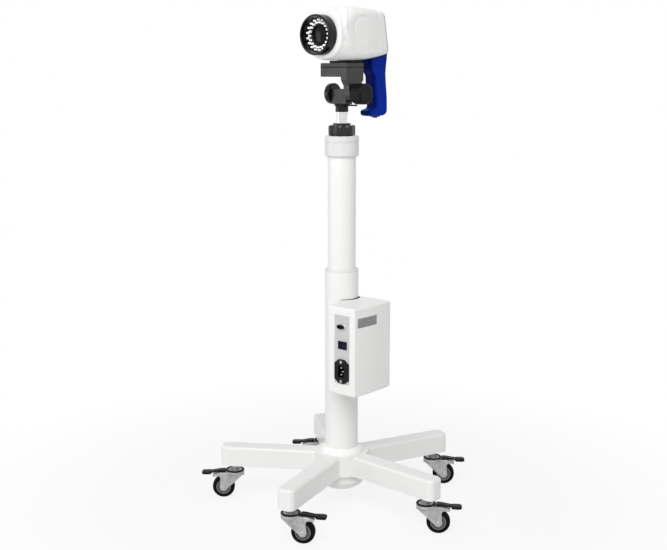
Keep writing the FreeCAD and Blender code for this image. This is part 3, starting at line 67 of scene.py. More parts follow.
class Nodes:
    """Short way to build a node tree."""

    def __init__(self, name):
        self.material = bpy.data.materials.new(name)
        self.material.use_nodes = True
        self.tree = self.material.node_tree
        self.tree.nodes.clear()
        self.out = self.add("ShaderNodeOutputMaterial")
        self.place = self.add("ShaderNodeTexCoord").outputs["Object"]

    def add(self, kind, **values):
        node = self.tree.nodes.new(kind)
        for key, value in values.items():
            setattr(node, key, value)
        return node

    def link(self, a, b):
        self.tree.links.new(a, b)

    def noise(self, scale, detail=4.0, stretch=None, rough=0.55):
        node = self.add("ShaderNodeTexNoise")
        node.inputs["Scale"].default_value = scale
        node.inputs["Detail"].default_value = detail
        node.inputs["Roughness"].default_value = rough
        source = self.place
        if stretch:
            mapping = self.add("ShaderNodeMapping")
            mapping.inputs["Scale"].default_value = stretch
            self.link(self.place, mapping.inputs["Vector"])
            source = mapping.outputs["Vector"]
        self.link(source, node.inputs["Vector"])
        return node.outputs["Fac"]

    def span(self, value, low, high, at_low=0.35, at_high=0.65):
        node = self.add("ShaderNodeMapRange")
        node.inputs["From Min"].default_value = at_low
        node.inputs["From Max"].default_value = at_high
        node.inputs["To Min"].default_value = low
        node.inputs["To Max"].default_value = high
        self.link(value, node.inputs["Value"])
        return node.outputs["Result"]

    def mix(self, fac, a, b):
        node = self.add("ShaderNodeMix", data_type="RGBA")
        self.link(fac, node.inputs["Factor"])
        for socket, colour in ((node.inputs["A"], a), (node.inputs["B"], b)):
            if hasattr(colour, "is_output"):
                self.link(colour, socket)
            else:
                socket.default_value = (*colour, 1.0)
        return node.outputs["Result"]

    def bump(self, height, strength, distance):
        node = self.add("ShaderNodeBump")
        node.inputs["Strength"].default_value = strength
        node.inputs["Distance"].default_value = distance
        self.link(height, node.inputs["Height"])
        return node.outputs["Normal"]

    def edges(self, low=0.52, high=0.62):
        node = self.add("ShaderNodeNewGeometry")
        return self.span(node.outputs["Pointiness"], 0.0, 1.0, low, high)

    def shader(self, colour, rough, normal, metallic=0.0, coat=0.0, coat_rough=0.1, specular=0.5):
        node = self.add("ShaderNodeBsdfPrincipled")
        self.link(colour, node.inputs["Base Color"])
        self.link(rough, node.inputs["Roughness"])
        node.inputs["Metallic"].default_value = metallic
        node.inputs["Coat Weight"].default_value = coat
        node.inputs["Coat Roughness"].default_value = coat_rough
        node.inputs["Specular IOR Level"].default_value = specular
        self.link(normal, node.inputs["Normal"])
        self.link(node.outputs["BSDF"], self.out.inputs["Surface"])
        return self.material


def painted(name, colour, dirt, rough=0.34, peel=0.05, coat=0.15):
    """Powder coat: faint orange peel and soft cloudiness."""
    n = Nodes(name)
    cloud = n.noise(9.0, 5.0)
    fine = n.noise(260.0, 2.0)
    tint = n.mix(n.span(cloud, 0.0, 1.0, 0.3, 0.75), colour, dirt)
    roughness = n.span(n.noise(34.0, 4.0), rough - 0.05, rough + 0.07)
    normal = n.bump(fine, peel, mm(0.35))
    return n.shader(tint, roughness, normal, coat=coat, coat_rough=0.22)


def moulded(name, colour, second, rough, grain=900.0, strength=0.2, depth=0.12,
            coat=0.0, specular=0.45, edge_highlight=None):
    """Moulded plastic: fine texture, slight tone drift, and on request a painted highlight that lightens
    sharp edges.
    """
    n = Nodes(name)
    tint = n.mix(n.span(n.noise(16.0, 5.0), 0.0, 1.0), colour, second)
    # Painted highlight: when asked, sharp edges found by pointiness are mixed towards a lighter colour.
    if edge_highlight:
        tint = n.mix(n.edges(), tint, edge_highlight)
    roughness = n.span(n.noise(48.0, 5.0), rough - 0.06, rough + 0.08)
    normal = n.bump(n.noise(grain, 3.0), strength, mm(depth))
    return n.shader(tint, roughness, normal, coat=coat, specular=specular)


def metal(name, colour, second, rough, stretch=(1.0, 1.0, 1.0), lines=400.0, strength=0.15, depth=0.05):
    """Plated or machined metal: drawn lines, cloudy plating."""
    n = Nodes(name)
    tint = n.mix(n.span(n.noise(60.0, 6.0), 0.0, 1.0), colour, second)
    roughness = n.span(n.noise(90.0, 5.0), rough - 0.07, rough + 0.1)
    normal = n.bump(n.noise(lines, 3.0, stretch), strength, mm(depth))
    return n.shader(tint, roughness, normal, metallic=1.0)


def blue_with_painted_shade():
    """Blue moulding whose front, towards the finger gap, is darkened to navy as painted shade."""
    n = Nodes("blue_grip_painted_shade")
    apart = n.add("ShaderNodeSeparateXYZ")
    n.link(n.add("ShaderNodeTexCoord").outputs["Normal"], apart.inputs["Vector"])
    blue = n.mix(n.span(n.noise(16.0, 5.0), 0.0, 1.0), (0.0, 0.026, 0.35), (0.0, 0.021, 0.30))
    # Painted shade: faces turned to the front (-Y) are mixed to navy, standing in for the shadow of the
    # bracket and head.
    tint = n.mix(n.span(apart.outputs["Y"], 1.0, 0.0, -0.9, -0.1), blue, (0.0, 0.005, 0.09))
    roughness = n.span(n.noise(48.0, 5.0), 0.38, 0.5)
    normal = n.bump(n.noise(1100.0, 3.0), 0.35, mm(0.15))
    return n.shader(tint, roughness, normal, specular=0.05)


MATERIALS = {
    "white_gloss": painted("white_paint", (0.9, 0.9, 0.89), (0.87, 0.87, 0.86)),
    "shell_white": moulded(
        "white_shell", (0.98, 0.98, 0.97), (0.965, 0.965, 0.955),
        rough=0.3, grain=700.0, strength=0.06, depth=0.08, coat=0.3,
    ),
    # Grip blue with painted shade on its front faces.
    "grip_blue": blue_with_painted_shade(),
    "black_plastic": moulded(
        "black_plastic", (0.003, 0.003, 0.003), (0.006, 0.006, 0.006),
        rough=0.4, grain=900.0, strength=0.25, depth=0.12, specular=0.14,
    ),
    "black_gloss": moulded(
        "black_gloss", (0.002, 0.002, 0.002), (0.004, 0.004, 0.004),
        rough=0.18, grain=500.0, strength=0.05, depth=0.05, coat=0.12, specular=0.2,
    ),
    "dark_metal": painted(
        "dark_casting", (0.009, 0.009, 0.009), (0.014, 0.014, 0.014),
        rough=0.42, peel=0.25, coat=0.1,
    ),
    "black_knob": moulded(
        "black_knob", (0.003, 0.003, 0.003), (0.006, 0.006, 0.006),
        rough=0.24, grain=900.0, strength=0.1, depth=0.08, coat=0.35, specular=0.3,
    ),
    "chrome": metal(
        "chrome_plate", (0.75, 0.75, 0.76), (0.68, 0.68, 0.7),
        rough=0.12, stretch=(1.0, 1.0, 0.05), lines=500.0, strength=0.05, depth=0.02,
    ),
    "zinc": metal(
        "zinc_plate", (0.52, 0.52, 0.52), (0.34, 0.34, 0.35),
        rough=0.36, stretch=(1.0, 1.0, 0.3), lines=350.0, strength=0.3, depth=0.08,
    ),
    "steel": metal(
        "bright_steel", (0.55, 0.55, 0.56), (0.45, 0.45, 0.46),
        rough=0.3, stretch=(0.2, 1.0, 1.0), lines=500.0, strength=0.15, depth=0.04,
    ),
    "tyre": moulded(
        "tyre_rubber", (0.002, 0.002, 0.002), (0.005, 0.005, 0.005),
        rough=0.62, grain=700.0, strength=0.4, depth=0.15, specular=0.08,
    ),
    "panel_grey": painted(
        "panel_grey", (0.6, 0.6, 0.6), (0.57, 0.57, 0.57),
        rough=0.42, peel=0.08, coat=0.0,
    ),
    "glass": moulded(
        "coated_glass", (0.001, 0.001, 0.002), (0.002, 0.002, 0.003),
        rough=0.1, grain=300.0, strength=0.0, depth=0.0, coat=0.1, specular=0.12,
    ),
    "lamp": moulded(
        "lamp_dome", (0.92, 0.93, 0.95), (0.85, 0.86, 0.9),
        rough=0.18, grain=300.0, strength=0.0, depth=0.0, coat=1.0,
    ),
    "board_green": moulded(
        "lamp_board", (0.002, 0.002, 0.002), (0.005, 0.005, 0.005),
        rough=0.4, grain=600.0, strength=0.2, depth=0.1, specular=0.1,
    ),
    "rubber": moulded(
        "rubber_pad", (0.008, 0.008, 0.008), (0.014, 0.014, 0.014),
        rough=0.7, grain=700.0, strength=0.4, depth=0.2, specular=0.1,
    ),
    "bush_white": moulded(
        "bush_white", (0.8, 0.8, 0.79), (0.76, 0.76, 0.75),
        rough=0.4, grain=600.0, strength=0.1, depth=0.08,
    ),
    # Wheel hub grey, with a painted highlight lightening its sharp edges.
    "hub_grey": moulded(
        "hub_grey", (0.07, 0.07, 0.071), (0.1, 0.1, 0.1),
        rough=0.3, grain=700.0, strength=0.15, depth=0.1, edge_highlight=(0.4, 0.4, 0.4),
    ),
    "seal_grey": moulded(
        "seal_grey", (0.06, 0.06, 0.062), (0.08, 0.08, 0.082),
        rough=0.6, grain=700.0, strength=0.2, depth=0.1, specular=0.1,
    ),
    "mark_blue": moulded(
        "mark_blue", (0.05, 0.07, 0.13), (0.04, 0.06, 0.11),
        rough=0.5, grain=700.0, strength=0.1, depth=0.05, specular=0.1,
    ),
    "rocker_navy": moulded(
        "rocker_navy", (0.001, 0.002, 0.012), (0.001, 0.003, 0.018),
        rough=0.35, grain=700.0, strength=0.1, depth=0.05, specular=0.12,
    ),
    "collar_white": painted("collar_white", (0.77, 0.77, 0.77), (0.74, 0.74, 0.735)),
    "plate_grey": moulded(
        "plate_grey", (0.3, 0.3, 0.3), (0.24, 0.24, 0.24),
        rough=0.35, grain=300.0, strength=0.1, depth=0.05,
    ),
}

MATERIALS["zinc"].node_tree.nodes["Principled BSDF"].inputs["Metallic"].default_value = 0.4
glow = MATERIALS["lamp"].node_tree.nodes["Principled BSDF"]
glow.inputs["Emission Color"].default_value = (1.0, 1.0, 1.0, 1.0)
glow.inputs["Emission Strength"].default_value = 0.32

# Finishes that belong to a slot of the record under another name
SLOTS = {part["node"]: part["material_slot"] for part in frame["record"]["subparts"]}


def dress(obj, slot):
    obj.data.materials.clear()
    obj.data.materials.append(MATERIALS[slot])


for name, obj in nodes.items():
    dress(obj, SLOTS[name])
dress(nodes["top_collar"], "collar_white")
dress(nodes["rocker"], "rocker_navy")
dress(nodes["inlet_screws"], "zinc")


# Mesh building, all sizes in millimetres

def piece(name, bm, body, slot, replaces=(), smooth=35.0, bevel=0.0):
    """Turn a mesh in millimetres into a named piece that rides on a body."""
    bmesh.ops.recalc_face_normals(bm, faces=bm.faces)
    bmesh.ops.scale(bm, vec=(0.001, 0.001, 0.001), verts=bm.verts)
    mesh = bpy.data.meshes.new(name)
    bm.to_mesh(mesh)
    bm.free()
    obj = bpy.data.objects.new(name, mesh)
    bpy.context.scene.collection.objects.link(obj)
    mesh.materials.append(MATERIALS[slot])
    finish_edges(obj, smooth, bevel)
    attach(obj, body)
    if replaces:
        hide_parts(*replaces)
    return obj


def finish_edges(obj, smooth, bevel=0.0):
    """Smooth shading with creases kept, and a small rounding where edges are sharp."""
    mesh = obj.data
    mesh.shade_smooth()
    if bevel:
        rounding = obj.modifiers.new("rounding", "BEVEL")
        rounding.width = mm(bevel)
        rounding.segments = 2
        rounding.limit_method = "ANGLE"
        rounding.angle_limit = math.radians(smooth)
        rounding.use_clamp_overlap = True
        rounding.harden_normals = True
    else:
        mesh.set_sharp_from_angle(angle=math.radians(smooth))


def rings_mesh(rings, cap_first=True, cap_last=True, bm=None):
    """Skin closed rings of equal length."""
    bm = bm or bmesh.new()
    loops = [[bm.verts.new(p) for p in ring] for ring in rings]
    count = len(loops[0])
    for low, high in zip(loops, loops[1:]):
        for i in range(count):
            j = (i + 1) % count
            bm.faces.new((low[i], low[j], high[j], high[i]))
    if cap_first:
        bm.faces.new(loops[0][::-1])
    if cap_last:
        bm.faces.new(loops[-1])
    return bm


def looped_mesh(rings):
    """Skin rings that come back to the first one."""
    bm = rings_mesh(rings + [rings[0]], False, False)
    bmesh.ops.remove_doubles(bm, verts=bm.verts, dist=0.0001)
    return bm


def lathe(profile, centre=(0, 0, 0), axis="Z", count=96, closed=False, bm=None):
    """Turn (radius, height) points about an axis; ends on the axis close to a point."""
    bm = bm or bmesh.new()
    cx, cy, cz = centre
    loops = []
    for radius, height in profile:
        if radius < 1e-6:
            loops.append([bm.verts.new(spin(0, 0, height, axis, cx, cy, cz))])
            continue
        loop = []
        for i in range(count):
            a = 2 * math.pi * i / count
            a, b = radius * math.cos(a), radius * math.sin(a)
            loop.append(bm.verts.new(spin(a, b, height, axis, cx, cy, cz)))
        loops.append(loop)
    pairs = list(zip(loops, loops[1:]))
    if closed:
        pairs.append((loops[-1], loops[0]))
    for low, high in pairs:
        if len(low) == 1 and len(high) == 1:
            continue
        for i in range(count):
            j = (i + 1) % count
            if len(low) == 1:
                bm.faces.new((low[0], high[j], high[i]))
            elif len(high) == 1:
                bm.faces.new((low[i], low[j], high[0]))
            else:
                bm.faces.new((low[i], low[j], high[j], high[i]))
    return bm


def spin(a, b, h, axis, cx, cy, cz):
    if axis == "X":
        return (cx + h, cy + a, cz + b)
    if axis == "Y":
        return (cx + a, cy + h, cz + b)
    return (cx + a, cy + b, cz + h)


def arc(cx, cy, radius, start, end, steps):
    """Points on an arc, angles in degrees."""
    points = []
    for i in range(steps + 1):
        a = math.radians(start + (end - start) * i / steps)
        points.append((cx + radius * math.cos(a), cy + radius * math.sin(a)))
    return points


def spline_value(table, x, column):
    """Smooth value between the rows of a table whose first column rises."""
    if x <= table[0][0]:
        return table[0][column]
    if x >= table[-1][0]:
        return table[-1][column]
    for i in range(len(table) - 1):
        x0, x1 = table[i][0], table[i + 1][0]
        if x0 <= x <= x1:
            break
    y0, y1 = table[i][column], table[i + 1][column]
    step = x1 - x0

    def slope(k):
        if k <= 0 or k >= len(table) - 1:
            k0 = max(k - 1, 0)
            k1 = min(k + 1, len(table) - 1)
            return (table[k1][column] - table[k0][column]) / (table[k1][0] - table[k0][0])
        a = (table[k][column] - table[k - 1][column]) / (table[k][0] - table[k - 1][0])
        b = (table[k + 1][column] - table[k][column]) / (table[k + 1][0] - table[k][0])
        if a * b <= 0:
            return 0.0
        return 2 * a * b / (a + b)

    t = (x - x0) / step
    m0, m1 = slope(i) * step, slope(i + 1) * step
    t2, t3 = t * t, t * t * t
    return (2 * t3 - 3 * t2 + 1) * y0 + (t3 - 2 * t2 + t) * m0 + (-2 * t3 + 3 * t2) * y1 + (t3 - t2) * m1


def rounded_ring(half_a, half_b, corner, count=96):
    """Points on a rounded rectangle, evenly spread by arc length, starting on +a."""
    corner = min(corner, half_a, half_b)
    flat_a, flat_b = half_a - corner, half_b - corner
    quarter = math.pi / 2 * corner
    total = 4 * (quarter + flat_a + flat_b)
    points = []
    for i in range(count):
        s = total * i / count
        points.append(point_on_ring(s, flat_a, flat_b, corner, quarter))
    return points


def point_on_ring(s, flat_a, flat_b, corner, quarter):
    parts = (
        ("side", flat_b), ("turn", quarter), ("top", 2 * flat_a), ("turn", quarter),
        ("side", 2 * flat_b), ("turn", quarter), ("top", 2 * flat_a), ("turn", quarter), ("side", flat_b),
    )
    a, b = flat_a + corner, 0.0
    heading = math.pi / 2
    for kind, length in parts:
        if kind == "turn":
            used = min(s, length)
            angle = used / corner if corner > 1e-9 else 0.0
            left = heading + math.pi / 2
            ca, cb = a + corner * math.cos(left), b + corner * math.sin(left)
            a = ca + corner * math.cos(left - math.pi + angle)
            b = cb + corner * math.sin(left - math.pi + angle)
            if s <= length:
                return (a, b)
            heading += math.pi / 2
        else:
            used = min(s, length)
            a += used * math.cos(heading)
            b += used * math.sin(heading)
            if s <= length:
                return (a, b)
        s -= length
    return (a, b)


# Camera head

HEAD_AXIS = 990.0
HEAD_TABLE = (
    (-61.0, 45.6, 46.6, 44.0, 0.0),
    (-58.0, 48.2, 49.3, 45.5, 0.0),
    (-54.0, 49.3, 50.6, 45.0, 0.0),
    (-40.0, 49.2, 51.8, 36.0, 0.0),
    (-12.0, 46.4, 52.3, 19.0, 0.0),
    (30.0, 42.3, 50.9, 14.0, 0.2),
    (75.0, 34.9, 47.1, 12.0, 1.2),
    (135.0, 23.9, 40.9, 11.0, 4.5),
)
LENS_Z = 986.2
HEAD_FRONT = -61.0
SEAT_R = 36.6
SHELL_T = 3.0
COVER_T = 6.0
COVER_SEAM = 2.0
COVER_ROUND = 3.0
REAR_TOP_Z, REAR_TOP_Y = 1030.0, 101.0
REAR_LOW_Z, REAR_LOW_Y = 949.0, 121.5
REAR_BLEND = 60.0
RING_COUNT = 240

# Crease of the cowl: height, distance back
CREASE = (
    (962.0, 6.0),
    (971.0, -15.0),
    (975.0, -24.0),
    (982.0, -33.0),
    (991.4, -41.0),
    (1004.8, -43.5),
    (1017.5, -41.0),
    (1026.5, -37.0),
    (1033.0, -33.0),
    (1038.0, -30.0),
    (1043.0, -29.0),
)
# Rise of the skin across the crease: distance behind it, height
RIDGE = (
    (-20.0, 0.0),
    (-13.5, -1.1),
    (-9.5, -1.6),
    (-5.0, -0.6),
    (-0.8, 0.75),
    (1.2, 0.5),
    (4.0, -0.45),
    (9.0, -0.3),
    (18.0, 0.0),
)
# Oval hollow on the sides: distance outside its edge, height
RELIEF_Y, RELIEF_Z, RELIEF_LONG, RELIEF_HIGH = 15.0, 999.0, 35.0, 25.0
RELIEF = ((-10.0, 0.0), (-5.0, -0.35), (-1.6, -1.0), (-0.4, -0.8), (1.8, 0.0))
RIDGE_FADE_Z = (964.0, 975.0)
RIDGE_FADE_LENGTH = 6.0
HOLLOW_FACING = (0.7, 0.95)
HOLLOW_FADE_Y = (44.0, 12.0)


def smooth_step(low, high, value):
    t = min(max((value - low) / (high - low), 0.0), 1.0)
    return t * t * (3 - 2 * t)


def head_row(y):
    """Half width, half height, corner and rise of the head at one distance back."""
    return [spline_value(HEAD_TABLE, y, column) for column in (1, 2, 3, 4)]


def head_ring(y, inset=0.0):
    """Ring of the head across its axis at one distance back."""
    half_x, half_z, corner, rise = head_row(y)
    ring = rounded_ring(half_x - inset, half_z - inset, max(corner - inset, 2.0), RING_COUNT)
    return [(a, b + HEAD_AXIS + rise) for a, b in ring]


def rear_plane(z):
    share = (z - REAR_LOW_Z) / (REAR_TOP_Z - REAR_LOW_Z)
    return REAR_LOW_Y + share * (REAR_TOP_Y - REAR_LOW_Y)


def sloped_ring(part, offset, inset=0.0):
    """Ring between the straight part of the head (0) and its sloping rear plane (1)."""
    ring = []
    level = REAR_BLEND + part * (REAR_LOW_Y - REAR_BLEND)
    start = head_row(level)
    for x, z in head_ring(level, inset):
        y = REAR_BLEND + part * (rear_plane(z) + offset - REAR_BLEND)
        row = head_row(y)
        x *= (row[0] - inset) / (start[0] - inset)
        z = HEAD_AXIS + row[3] + (z - HEAD_AXIS - start[3]) * (row[1] - inset) / (start[1] - inset)
        y = REAR_BLEND + part * (rear_plane(z) + offset - REAR_BLEND)
        ring.append((x, y, z))
    return ring


def sculpted(ring):
    """Raise the cowl and its crease, and sink the oval hollow on the sides."""
    result = []
    for index, (x, y, z) in enumerate(ring):
        before = ring[index - 1]
        after = ring[(index + 1) % len(ring)]
        tx, tz = after[0] - before[0], after[2] - before[2]
        size = math.hypot(tx, tz) or 1.0
        nx, nz = tz / size, -tx / size
        level = min(max(z, CREASE[0][0]), CREASE[-1][0])
        place = spline_value(CREASE, level, 1)
        ahead = spline_value(CREASE, min(level + 1.0, CREASE[-1][0]), 1)
        behind = spline_value(CREASE, max(level - 1.0, CREASE[0][0]), 1)
        lean = (ahead - behind) / 2.0
        distance = (y - place) / math.sqrt(1.0 + lean * lean)
        height = spline_value(RIDGE, distance, 1)
        height *= smooth_step(*RIDGE_FADE_Z, z)
        height *= smooth_step(HEAD_FRONT, HEAD_FRONT + RIDGE_FADE_LENGTH, y)
        reach = math.hypot((y - RELIEF_Y) / RELIEF_LONG, (z - RELIEF_Z) / RELIEF_HIGH)
        hollow = spline_value(RELIEF, (reach - 1.0) * RELIEF_HIGH, 1)
        height += hollow * smooth_step(*HOLLOW_FACING, abs(nx)) * smooth_step(*HOLLOW_FADE_Y, y)
        result.append((x + nx * height, y, z + nz * height))
    return result


SIDE_STEPS = 96
REAR_STEPS = 26
EDGE_LENGTH = 1.6


def circle_ring(radius, y):
    points = []
    for index in range(RING_COUNT):
        angle = 2 * math.pi * index / RING_COUNT
        points.append((radius * math.cos(angle), y, LENS_Z + radius * math.sin(angle)))
    return points


def head_shell():
    rings = [circle_ring(SEAT_R, HEAD_FRONT + 4.0), circle_ring(SEAT_R, HEAD_FRONT + 0.5)]
    rings.append(circle_ring(SEAT_R + 0.5, HEAD_FRONT))
    rings.append(circle_ring(BEZEL_R + 1.0, HEAD_FRONT))
    for inset, back in ((1.6, 0.05), (0.7, 0.35), (0.2, 0.9)):
        rings.append([(x, HEAD_FRONT + back, z) for x, z in head_ring(HEAD_FRONT, inset)])
    straight = REAR_BLEND - HEAD_FRONT - EDGE_LENGTH
    for index in range(SIDE_STEPS + 1):
        y = HEAD_FRONT + EDGE_LENGTH + straight * index / SIDE_STEPS
        rings.append(sculpted([(x, y, z) for x, z in head_ring(y)]))
    for index in range(1, REAR_STEPS + 1):
        rings.append(sculpted(sloped_ring(index / REAR_STEPS, -COVER_T)))
    rings.append(sloped_ring(1.0, -COVER_T + 0.1, 0.5))
    rings.append(sloped_ring(1.0, -COVER_T + 0.1, SHELL_T))
    for y in (30.0, -12.0, -40.0, HEAD_FRONT + 4.0):
        rings.append([(x, y, z) for x, z in head_ring(y, SHELL_T)])
    return piece("head_skin", looped_mesh(rings), "camera", "shell_white", ("head_shell",), 40.0)


def rear_cover():
    seam = -COVER_T + COVER_SEAM
    rings = [sloped_ring(1.0, seam, 2.0), sloped_ring(1.0, seam, 0.5)]
    rings.append(sloped_ring(1.0, seam + 0.4, 0.1))
    for index in range(9):
        turn = math.pi / 2 * index / 8
        inset = COVER_ROUND * (1 - math.cos(turn))
        rings.append(sloped_ring(1.0, -COVER_ROUND * (1 - math.sin(turn)), inset))
    for inset in (6.0, 11.0, 17.0):
        rings.append(sloped_ring(1.0, 0.0, inset))
    return piece("rear_cover_skin", rings_mesh(rings), "camera", "shell_white", ("rear_cover",), 40.0)


def rear_seal():
    """Dark line in the seam between shell and cover."""
    rings = []
    for inset in (2.6, 0.15):
        rings.append(sloped_ring(1.0, -COVER_T + 0.12, inset))
    for inset in (0.15, 2.6):
        rings.append(sloped_ring(1.0, -COVER_T + COVER_SEAM - 0.02, inset))
    return piece("rear_seal", looped_mesh(rings), "camera", "seal_grey", (), 30.0)


# Front ring, lamps and lens

BEZEL_R = 39.5
BEZEL_FRONT = -84.0
BEZEL_ROUND = 3.0
MOUTH_R = 35.4
THROAT_R = 33.5
THROAT_Y = -77.0
BOARD_Y = -67.0
BOARD_BACK = -65.4
LAMP_RINGS = ((29.6, 12.0), (24.2, 4.0))
LAMP_COUNT = 18
LAMP_R = 2.35
LAMP_TIP = -73.4
LENS_R = 19.0
LENS_FRONT = -72.0
GLASS_R = 15.4


def bezel():
    profile = [(SEAT_R - 0.1, -50.0), (SEAT_R - 0.1, HEAD_FRONT), (BEZEL_R, HEAD_FRONT)]
    profile += [(BEZEL_R, -67.0), (BEZEL_R - 0.5, -67.4), (BEZEL_R - 0.5, -68.0), (BEZEL_R, -68.4)]
    for r, h in arc(BEZEL_R - BEZEL_ROUND, BEZEL_FRONT + BEZEL_ROUND, BEZEL_ROUND, 0.0, -90.0, 8):
        profile.append((r, h))
    profile += [(MOUTH_R + 0.5, BEZEL_FRONT), (MOUTH_R, BEZEL_FRONT + 0.5)]
    profile += [(THROAT_R + 0.6, THROAT_Y - 0.8), (THROAT_R, THROAT_Y + 0.4), (THROAT_R, -50.0)]
    bm = lathe(profile, (0, 0, LENS_Z), "Y", 160, closed=True)
    return piece("front_ring", bm, "camera", "black_gloss", ("bezel",), 28.0)


def lamp_board():
    inner, outer = LENS_R + 0.1, THROAT_R - 0.1
    profile = [(inner, BOARD_Y), (outer, BOARD_Y), (outer, BOARD_BACK), (inner, BOARD_BACK)]
    bm = lathe(profile, (0, 0, LENS_Z), "Y", 96, closed=True)
    return piece("lamp_plate", bm, "camera", "board_green", ("lamp_board",), 30.0)


def lamps():
    bm = bmesh.new()
    for radius, shift in LAMP_RINGS:
        for index in range(LAMP_COUNT):
            angle = math.radians(shift + 360.0 * index / LAMP_COUNT)
            centre = (radius * math.cos(angle), 0, LENS_Z + radius * math.sin(angle))
            profile = [(LAMP_R, BOARD_Y), (LAMP_R, BOARD_Y - 0.8), (LAMP_R - 0.2, BOARD_Y - 1.0)]
            dome = arc(0, LAMP_TIP + LAMP_R - 0.2, LAMP_R - 0.2, 0.0, -90.0, 6)
            profile += [(max(r, 0.0), h) for r, h in dome]
            lathe(profile, centre, "Y", 20, bm=bm)
    return piece("lamp_domes", bm, "camera", "lamp", ("lamps",), 50.0)


def lens_ring():
    lip = GLASS_R + 0.9
    profile = [(LENS_R, -18.0), (LENS_R, LENS_FRONT + 0.8), (LENS_R - 0.8, LENS_FRONT)]
    profile += [(GLASS_R + 1.6, LENS_FRONT), (lip, LENS_FRONT + 0.7), (lip, LENS_FRONT + 1.4)]
    profile += [(GLASS_R, LENS_FRONT + 2.2), (GLASS_R, -22.0)]
    bm = lathe(profile, (0, 0, LENS_Z), "Y", 96, closed=True)
    return piece("lens_ring", bm, "camera", "black_plastic", ("lens_barrel",), 28.0)


def lens_front():
    """Front glass, a shallow dome."""
    profile = [(GLASS_R, -65.0), (GLASS_R, -69.0)]
    cap = (GLASS_R**2 + 4.0) / 4.0
    for index in range(1, 9):
        r = GLASS_R * (1 - index / 8)
        profile.append((r, -71.0 + cap - math.sqrt(cap * cap - r * r)))
    bm = lathe(profile, (0, 0, LENS_Z), "Y", 96)
    return piece("lens_front", bm, "camera", "glass", ("lens_glass",), 40.0)


# Grip

# Height, front, back, half width
GRIP_TABLE = (
    (824.2, 79.5, 119.5, 9.0),
    (824.7, 76.0, 122.8, 11.4),
    (826.2, 73.3, 126.8, 13.0),
    (829.0, 71.8, 130.4, 13.9),
    (832.4, 71.6, 132.6, 14.3),
    (834.9, 72.6, 133.3, 14.4),
    (836.6, 76.0, 133.4, 14.5),
    (837.8, 82.0, 133.4, 14.5),
    (839.6, 88.5, 133.4, 14.5),
    (844.0, 92.8, 133.4, 14.5),
    (864.0, 92.0, 132.6, 14.5),
    (888.0, 88.5, 129.8, 14.4),
    (906.0, 87.0, 128.2, 14.3),
    (912.0, 82.4, 127.8, 14.4),
    (920.0, 76.6, 128.0, 14.8),
    (931.0, 73.0, 128.4, 15.6),
    (942.0, 71.8, 128.6, 17.2),
)
GRIP_CORNER = 7.0
GRIP_COUNT = 120
GRIP_MIDDLE = 100.0


def head_underside(x, y):
    half_x, half_z, corner, rise = head_row(y)
    over = max(abs(x) - (half_x - corner), 0.0)
    drop = corner - math.sqrt(max(corner * corner - over * over, 0.0))
    return HEAD_AXIS + rise - half_z + drop


def grip_ring(z):
    front, back, half = (spline_value(GRIP_TABLE, z, column) for column in (1, 2, 3))
    ring = rounded_ring(half, (back - front) / 2, min(GRIP_CORNER, half - 0.5), GRIP_COUNT)
    return [(a, (front + back) / 2 + b, z) for a, b in ring]


def grip():
    levels = []
    for row, after in zip(GRIP_TABLE, GRIP_TABLE[1:]):
        steps = max(int((after[0] - row[0]) / 1.6), 3)
        levels += [row[0] + (after[0] - row[0]) * k / steps for k in range(steps)]
    rings = [grip_ring(z) for z in levels]
    base = rings[-1][0][2]
    for share in (0.35, 0.7, 1.0):
        ring = []
        for x, y, z in grip_ring(GRIP_TABLE[-1][0]):
            ring.append((x, y, base + share * (head_underside(x, y) + 1.0 - base)))
        rings.append(ring)
    return piece("grip_body", rings_mesh(rings), "camera", "grip_blue", ("grip",), 40.0)


def grip_painted_shade():
    """Dark band of painted shade between the top of the grip and the underside of the head."""
    rings = []
    for grow, drop in ((-1.5, 2.6), (0.35, 2.6), (0.5, 2.2), (0.5, -0.8), (-1.5, -0.8)):
        ring = []
        for x, y, z in grip_ring(GRIP_TABLE[-1][0]):
            x1 = x * (1.0 + grow / 15.0)
            y1 = GRIP_MIDDLE + (y - GRIP_MIDDLE) * (1.0 + grow / 26.0)
            ring.append((x1, y1, head_underside(x1, y1) - drop))
        rings.append(ring)
    return piece("grip_painted_shade", looped_mesh(rings), "camera", "rubber", (), 40.0)


# Tilt joint

TILT_Z = 871.5
KNOB_GROOVES = 16
GROOVE_DEPTH = 0.7


def tilt_disc():
    profile = [(5.0, -19.0), (19.5, -19.0)]
    profile += arc(19.5, -20.5, 1.5, 90.0, 0.0, 4)
    profile += arc(18.5, -28.5, 2.5, 0.0, -90.0, 5)
    profile += [(13.5, -31.0), (13.0, -30.3), (0.0, -30.3)]
    bm = lathe(profile, (0, 0, TILT_Z), "X", 96)
    shaft = [(5.0, -19.2), (5.0, 57.0)]
    lathe(shaft, (0, 0, TILT_Z), "X", 32, bm=bm)
    return piece("tilt_wheel", bm, "pan_head", "black_gloss", ("tilt_axle",), 28.0)


